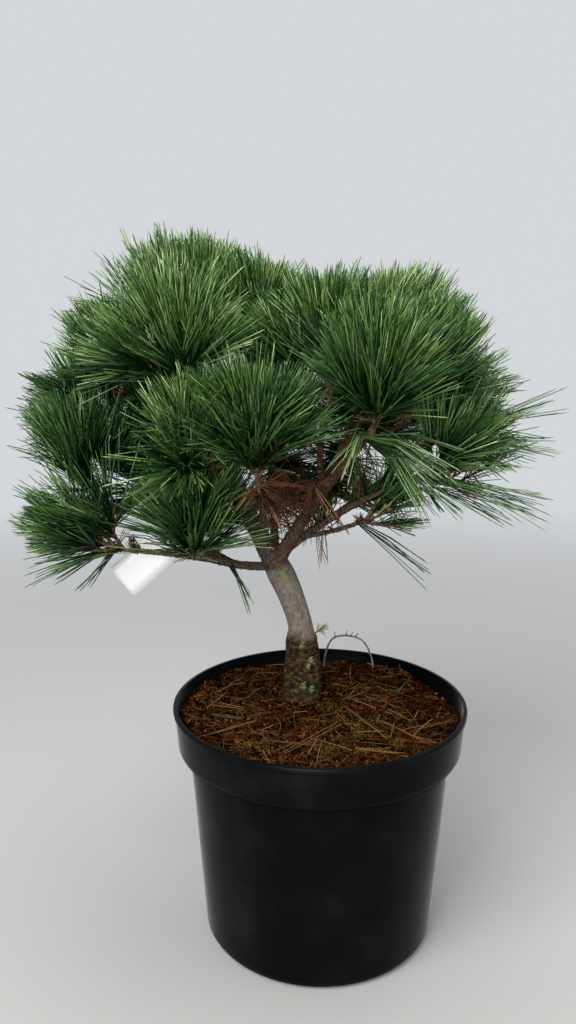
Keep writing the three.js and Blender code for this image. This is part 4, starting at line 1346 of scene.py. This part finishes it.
def add_mass(pile, mass, extras, limbs, random):
    """The needles of one mass, within its reach and the crown's outline, clear of openings and limbs."""
    roots, ways, bends, kinds, inward = joined(mass_needles(mass, *extras, random))
    reach = mass.habit.reach * (0.74 + 0.26 * random.uniform(0, 1, len(roots)) ** 1.3)
    ways, bends = within(mass.heart, roots, ways, bends, reach)
    ways, bends, fits = keep_inside(roots, ways, bends, random)
    sprays = bundles_of(SPRAYS, mass, random)
    apart = bundles_of(APART, mass, random)
    placed = np.repeat([False, True], [len(roots) + len(sprays[0]), len(apart[0])])
    fits = np.append(fits, np.ones(len(placed) - len(fits), bool))
    needles = joined([(roots, ways, bends, kinds, inward), sprays, apart])
    fits &= out_of_openings(*needles[:4], random) | placed
    free = fits & limbs.clear(needles[0], needles[0] + needles[1] + needles[2])
    roots, ways, bends, kinds, inward = (column[free] for column in needles)
    widths = NEEDLE_RADIUS * random.uniform(0.85, 1.15, len(roots))
    # Painted light on the tips and painted shade at the roots of the needles.
    tones = np.where(LIT_TIP_FACE, TIP_LIT_TONE[kinds][:, None], kinds[:, None])
    tones = np.where(SHADED_ROOT_FACE, ROOT_SHADED_TONE[kinds][:, None], tones)
    scatter(pile, NEEDLE_SHAPE, roots, ways, widths, 2 * tones + INNER_FACE, bends, inward)


def make_foliage(lines):
    """Needles, twigs, buds and the dead growth inside."""
    limbs = Limbs(lines)
    masses = {limb.name: grow_shoots(limb, lines[limb.name], i) for i, limb in enumerate(LIMBS)}
    twigs, buds, dead = Pile(), Pile(), Pile()
    green = []
    for tone in TONES:
        inner = tuple(INNER_LIFT * c + 0.4 * tone[1] * tint for c, tint in zip(tone, INNER_TINT))
        shine = 0.10 + 1.6 * min(tone[1], 0.22)
        green += [needle_material("needle", tone, shine), needle_material("needle_inner", inner, shine)]
    for region, names in REGIONS.items():
        pile = Pile()
        for name in names:
            random = np.random.RandomState(1000 + list(masses).index(name))
            add_mass(pile, masses[name], (twigs, buds, dead), limbs, random)
        add_piece("needles_" + region + "_side", pile, green,
                  ["needles_" + name for name in names], smooth=False)
    twig_bark = mottled("twig_bark", [(0.035, 0.018, 0.009), (0.11, 0.055, 0.026), (0.16, 0.10, 0.045)],
                        3, 0.8, 0.6, 0.8, edges=(0.35, 0.68))
    add_piece("twigs", twigs, [twig_bark])
    scales = mottled("bud_scales", [(0.10, 0.035, 0.012), (0.30, 0.13, 0.045), (0.42, 0.22, 0.10)],
                     2.2, 0.7, 0.5, 0.7)
    add_piece("buds", buds, [scales])
    grow_dead(lines, dead)
    tones = [new_material(name, colour, roughness, Specular_IOR_Level=0.2)
             for name, (colour, roughness) in DEAD_COLOURS.items()]
    add_piece("dead_growth", dead, tones, smooth=False)


def needle_material(name, colour, shine=0.3):
    return new_material(name, colour, 0.38, Specular_IOR_Level=shine)


def mass_needles(mass, twigs, buds, dead, random):
    """Twigs, buds and bundles of one mass: returns the needles of its shoots."""
    habit, size = mass.habit, mass.habit.size
    share = habit.density * size ** 0.5
    length = NEEDLE * (0.4 + 0.6 * size)
    thin = mass.limb.radii[1]

    def add_twig(line, radii, sides, step, relief, collar):
        limb_bark(twigs, line, radii, sides, step, int(random.randint(1, 999)), relief, collar)

    add_twig(mass.stem, (thin, 0.8 * thin), 10, 1.6, 0.4, 0)
    rows = []
    for shoot in mass.shoots:
        add_twig(shoot, (1.9 * size ** 0.5, 1.3), 7, 2.0, 0.3, 0.2)
        grown = [(shoot, BUNDLES, habit.bare, SHOOT_LEAN, 1.0)]
        grown += [(twig, SIDE_BUNDLES, SIDE_BARE, SIDE_LEAN, SIDE_PART)
                  for twig in side_shoots(shoot, size, habit.bare, random)]
        vigour = random.uniform(0.84, 1.12)
        for line, bundles, start, angles, part in grown:
            if part < 1:
                add_twig(line, (1.2, 0.9), 5, 2.4, 0.2, 0.2)
            count = max(3, int(bundles * share * random.uniform(0.75, 1.2)))
            roots, ways, ahead = brush(line, count, start, angles, habit, random)
            size_here = length * part * vigour * random.uniform(0.88, 1.06)
            kinds = needle_tones(roots, random, 0, habit.light)
            rows.append(fascicle_needles(roots, ways, ahead, kinds, size_here, random))
            add_bud(buds, line, part ** 4, random)
    add_brown_bundles(dead, mass.stem, 6, 22 * size, random)
    add_scales(dead, mass, random)
    return rows


def bundles_of(listed, mass, random):
    """Needles of the bundles that a table places on this mass's limb or stem."""
    rows = [(*np.zeros((3, 0, 3)), np.zeros(0, int), np.zeros((0, 3)))]
    for row in listed.get(mass.limb.name, ()):
        place, loose, count, way, spread, reach, tone, droop = Bundles(*row)
        line, share = (mass.bough, place) if place <= 1 else (mass.stem, place - 1)
        roots = line.at(np.clip(share + random.uniform(-0.03, 0.03, count), 0, 1))
        roots = roots + random.normal(0, loose, (count, 3))
        ways = unit(unit(way) + random.normal(0, spread, (count, 3)))
        kinds = needle_tones(roots, random, max(tone, 0), min(tone, 0))
        sizes = reach * random.uniform(0.85, 1.1, count)
        rows.append(fascicle_needles(roots, ways, 0 * ways, kinds, sizes, random, 0.055, droop))
    return joined(rows)


BUD = blade((0, 0.25, 0.5, 0.8), (0.6, 1, 0.95, 0.5), 7)


def add_bud(buds, shoot, size, random):
    """A pointed, scaly end bud with a few smaller ones round it."""
    tip, ahead = shoot.at(1.0), shoot.ahead(1.0)
    count = 1 + random.randint(1, 4)
    ways = unit(ahead + random.normal(0, 0.4, (count, 3)))
    ways[0] = ahead
    lengths = size * np.where(np.arange(count) == 0, 7.5, random.uniform(3.5, 5.5, count))
    scatter(buds, BUD, tip + ways * 0.2 - ahead * 0.8, ways * lengths[:, None], lengths * 0.23, 0)


SCALE = blade((0, 0.5), (1, 0.8), 4)


def add_scales(pile, mass, random):
    """Old bud scales and sheaths crowded where the shoots of a mass part."""
    for line, count, last in [(mass.stem, 46, 1.0)] + [(shoot, 16, 0.35) for shoot in mass.shoots]:
        shares = random.uniform(0.1, last, count)
        roots, ahead = line.at(shares), line.ahead(shares)
        ways = unit(0.8 * ahead + random.normal(0, 0.7, (count, 3))) * random.uniform(2.0, 6.5, (count, 1))
        scatter(pile, SCALE, roots, ways, random.uniform(0.35, 0.8, count),
                random.choice(3, count, p=[0.45, 0.1, 0.45]))


DEAD_NEEDLE = blade((0, 0.3, 0.6, 0.92), (0.8, 1, 1, 0.8))


def add_brown_bundles(pile, line, count, length, random):
    """Short dead bundles that still hold on round a stem."""
    shares = random.uniform(0, 1, count)
    roots, ahead = line.at(shares), line.ahead(shares)
    ways = unit(ahead * 0.5 + random.normal(0, 0.9, (count, 3)))
    ways[:, 2] = np.abs(ways[:, 2])
    kinds = random.choice((0, 1, 2), count)
    scatter_bundles(pile, DEAD_NEEDLE, roots, ways, ways, kinds, length, random, 0.12, 0.25)


DEAD_LOWEST = 450
DEAD_LENGTH = 30
DEAD_BARK = 3
DEAD_COLOURS = {"dead_rust": ((0.120, 0.042, 0.014), 0.65), "dead_tan": ((0.230, 0.120, 0.045), 0.65),
                "dead_dark": ((0.022, 0.007, 0.003), 0.8), "dead_twig_bark": ((0.078, 0.022, 0.011), 0.85)}

# Dead growth inside the crown: limb, shares of its length, twigs, way, length, brown bundles.
DEAD_TWIGS = [
    ("leader_right", (0.10, 0.35), 3, (-0.75, 0.0, 0.75), 44, 0.0),
    ("leader_right", (0.40, 0.80), 6, (-0.60, 0.0, 0.1), 38, 0.75),
    ("leader_left", (0.06, 0.18), 2, (0.6, -0.1, 0.8), 48, 0.0),
    ("leader_left", (0.28, 0.50), 5, (0.70, -0.1, -0.2), 44, 0.75),
    ("centre_front", (0.82, 1.0), 8, (0.95, 0.05, 0.25), 40, 0.90),
    ("centre_front", (0.55, 0.9), 4, (0.5, 0.3, -0.6), 34, 0.30),
    ("front_left", (0.25, 0.8), 4, (-0.2, -0.2, -0.7), 20, 0.1),
    ("rear", (0.45, 0.9), 6, (0.5, -0.3, 0.4), 44, 0.7),
    ("right_low", (0.1, 0.7), 3, (0.1, -0.1, -0.9), 12, 0.0),
    ("right_low", (0.1, 0.8), 6, (-0.1, 0.1, 0.8), 30, 0.15),
    ("right_top", (0.1, 0.6), 6, (0.3, -0.2, -0.5), 40, 0.1),
    ("rear_right", (0.35, 0.9), 4, (-0.2, -0.1, 0.3), 42, 0.2),
]

# Brown needles that hang from a limb: limb, shares, bundles, way, length.
DEAD_BUNDLES = [
    ("centre_front", (0.85, 1.0), 7, (-0.5, -0.3, 0.0), 22),
    ("centre_front", (0.82, 1.0), 5, (0.6, -0.1, -0.6), 32),
    ("centre_front", (0.92, 1.0), 9, (0.85, 0.15, -0.10), 34),
    ("centre_front", (0.92, 1.0), 8, (0.1, -0.5, -0.6), 24),
    ("leader_right", (0.30, 0.80), 11, (-0.75, 0.15, -0.35), 34),
    ("leader_left", (0.30, 0.60), 9, (0.6, -0.4, -0.6), 36),
    ("rear", (0.50, 1.0), 20, (0.25, -0.5, -0.7), 44),
    ("rear_right", (0.30, 0.80), 12, (-0.25, -0.45, -0.8), 40),
    ("right_low", (0.10, 0.40), 2, (0.15, -0.1, -1.0), 50),
    ("low_centre", (0.92, 1.0), 10, (-0.2, -0.4, 0.9), 20),
    ("low_left", (0.94, 1.0), 7, (-0.2, -0.4, 0.9), 18),
    ("right_low", (0.82, 1.0), 9, (0.4, -0.1, -0.4), 34),
]


def grow_dead(lines, pile):
    """Red-brown dead twigs with their forks, and the brown needles caught among them."""
    random = np.random.RandomState(77)
    bundles = []
    for name, (first, last), count, way, length, brown in DEAD_TWIGS:
        for share in random.uniform(first, last, count):
            foot = lines[name].at(share)
            ahead = unit(np.array(way) + random.normal(0, 0.35, 3))
            size = length * random.uniform(0.6, 1.2)
            tip = foot + ahead * size + random.normal(0, 3, 3)
            twig = bezier(foot, foot + ahead * size * 0.5 + random.normal(0, 4, 3), tip, 16)
            pile.add(*thin_tube(twig, 8, 0.85, 0.4, 5), DEAD_BARK)
            for fork in random.uniform(0.3, 0.95, random.randint(3, 7)):
                base = twig.at(fork)
                out = unit(twig.ahead(fork) + random.normal(0, 0.7, 3))
                end = base + out * random.uniform(7, 18)
                bent = bezier(base, (base + end) / 2 + random.normal(0, 1.5, 3), end, 8)
                pile.add(*thin_tube(bent, 5, 0.45, 0.25, 4), DEAD_BARK)
                if random.uniform() < brown and end[2] > DEAD_LOWEST:
                    bundles.append((end, unit(random.normal(0, 0.55, 3) - 0.8 * UP)))
    roots, ways = (np.array(column) for column in zip(*bundles))
    add_brown_needles(pile, roots, ways, DEAD_LENGTH, random)
    for name, (first, last), count, way, length in DEAD_BUNDLES:
        roots = lines[name].at(random.uniform(first, last, count)) + random.normal(0, 2, (count, 3))
        ways = unit(np.array(way) + random.normal(0, 0.42, (count, 3)))
        add_brown_needles(pile, roots, ways, length, random)


def add_brown_needles(pile, roots, ways, length, random):
    """Dead bundles at these roots, of mixed lengths and browns."""
    kinds = random.choice(3, len(roots), p=[0.50, 0.08, 0.42])
    sizes = length * random.uniform(0.6, 1.25, len(roots))
    scatter_bundles(pile, DEAD_NEEDLE, roots, ways, 0 * ways, kinds, sizes, random, 0.12, 0.10)


# Label, dead twig and sprout.

LABEL_WIDTH = 35
LABEL_LENGTH = 130
LABEL_END = (-182, -15, 352)
LABEL_AT = 0.39
LOOP_WIDTH = 9
LOOP_FILM = 0.8
LOOP_STEPS = 48
LABEL_STEPS = 40
FILM_HALF = 0.3
LABEL_CURL = 1.2
END_ROUND = 3
LABEL_CUP = [(-1, 0.25), (-0.5, 0.05), (0, 0), (0.5, 0.05), (1, 0.25)]


def make_label(leader, radii):
    """A blank strip of film whose loop closes round the left leader."""
    centre, ahead = leader.at(LABEL_AT), leader.ahead(LABEL_AT)
    down = unit(np.array(LABEL_END) - centre)
    face = unit(np.cross(np.cross((0, 1, 0), down), down))
    across = np.cross(down, face)
    radius = lerp(*radii, LABEL_AT) + 2.2 * GAP
    pile = Pile()
    around = turned(sides_of(ahead, (0, 1, 0)), np.linspace(0, TURN, LOOP_STEPS + 1)[:-1])
    half = LOOP_WIDTH / 2
    band = [centre + around * (radius + r) + ahead * h
            for r, h in ((0, -half), (LOOP_FILM, -half), (LOOP_FILM, half), (0, half))]
    pile.add(np.stack(band, 1).reshape(-1, 3), skin(len(around), len(band), closed=True)[:, ::-1])
    rows = []
    start = radius + LOOP_FILM / 2
    for share in np.linspace(0, 1, LABEL_STEPS):
        reach = start + share * LABEL_LENGTH
        half = lerp(LOOP_WIDTH / 2, LABEL_WIDTH / 2, smoothstep(reach - start, 0, LABEL_WIDTH / 2))
        half -= 0.8 * max(0, (reach - start - LABEL_LENGTH + END_ROUND) / END_ROUND) ** 2
        middle = centre + down * reach + LABEL_CURL * math.sin(math.pi * share * 1.2) * face
        front, back = ([middle + across * half * x + face * (h + side) for x, h in LABEL_CUP]
                       for side in (FILM_HALF, -FILM_HALF))
        rows.append(front + back[::-1])
    pile.add(*loft(np.array(rows)))
    film = mottled("label_film", [(0.79, 0.79, 0.78), (0.85, 0.85, 0.84)], 30, 0.42, 0.05, 6)
    add_piece("label_strip", pile, [film], ["hang_label"])


DEAD_TWIG_LINE = [(8, 112), (32, 116, 254), (62, 102)]
SPURS = (0.22, 0.36, 0.47, 0.52, 0.57, 0.80, 0.93)


def make_dead_twig():
    """The dead twig that arches over the soil, with its short spurs."""
    random = np.random.RandomState(9)
    foot, top, end = (np.array([x, y, *(z or [float(soil_height(x, y)) + 0.5])], float)
                      for x, y, *z in DEAD_TWIG_LINE)
    rise = [np.array([across, across, up]) for across, up in ((0.12, 0.5), (0.42, 0.9))]
    left, right = ([start + (top - start) * share for share in rise] for start in (foot, end))
    arch = smooth_line([foot, *left, top - (0, 0, 1), *right[::-1], end], 16)
    pile = Pile()
    shares = np.linspace(0, 1, 60)
    thick = lerp(1.15, 0.8, shares) + 0.22 * noise(np.outer(shares * arch.length, (1, 1, 1)), 3, 4)
    pile.add(*tube(arch, shares, thick, 8))
    for share in SPURS:
        base = arch.at(share)
        out = unit(np.array([random.normal(0, 0.5), -0.3, 0.9]))
        spur = bezier(base, base + out * 3, base + out * random.uniform(4, 7) + random.normal(0, 0.8, 3), 6)
        pile.add(*thin_tube(spur, 5, 0.8, 0.35, 5))
    bark = mottled("dead_twig_grey", [(0.10, 0.055, 0.04), (0.26, 0.17, 0.13)], 3, 0.85, 0.5, 0.8)
    add_piece("dead_twig_bark", pile, [bark], ["dead_twig"])


SPROUT_LINE = [(-17, 27, 286), (-7, 20, 288), (1, 16, 294)]
SPROUT_BUNDLES = 4
SPROUT_NEEDLE = 11
SPROUT_LEAN = (60, 14)


def make_sprout():
    """The small shoot of short needles at the graft."""
    random = np.random.RandomState(12)
    stem = bezier(*(np.array(p, float) for p in SPROUT_LINE))
    pile = Pile()
    pile.add(*tube(stem, np.linspace(0.4, 1, 10), np.linspace(0.9, 0.6, 10), 6), 3)
    roots, ways, ahead = brush(stem, SPROUT_BUNDLES, 0.80, SPROUT_LEAN, Habit(), random)
    kinds = random.choice(3, SPROUT_BUNDLES, p=[0.4, 0.4, 0.2])
    spine = blade((0, 0.5, 0.9), (0.8, 1, 0.9))
    scatter_bundles(pile, spine, roots, ways, ahead, kinds, SPROUT_NEEDLE, random, 0.18, 0.0)
    tones = [needle_material("sprout_green", (0.10, 0.14, 0.04)),
             needle_material("sprout_olive", (0.17, 0.16, 0.05)),
             needle_material("sprout_tan", (0.22, 0.17, 0.06)),
             new_material("sprout_stem", (0.10, 0.07, 0.03), 0.8)]
    add_piece("sprout", pile, tones, ["needles_trunk_sprout"], smooth=False)


# The whole plant.

def grow_lines():
    """The lines of the stem and the limbs, each from its place on its parent."""
    lines = {"trunk": smooth_line(TRUNK_LINE)}
    for limb in LIMBS:
        foot = lines[limb.parent].at(limb.at)
        lines[limb.name] = bowed(foot, np.array(limb.tip, float), limb.bow)
    return lines


make_stage()
make_pot()
make_soil()
lines = grow_lines()
make_trunk(lines["trunk"])
make_boughs(lines)
make_foliage(lines)
make_label(lines["leader_left"], LIMBS[0].radii)
make_dead_twig()
make_sprout()
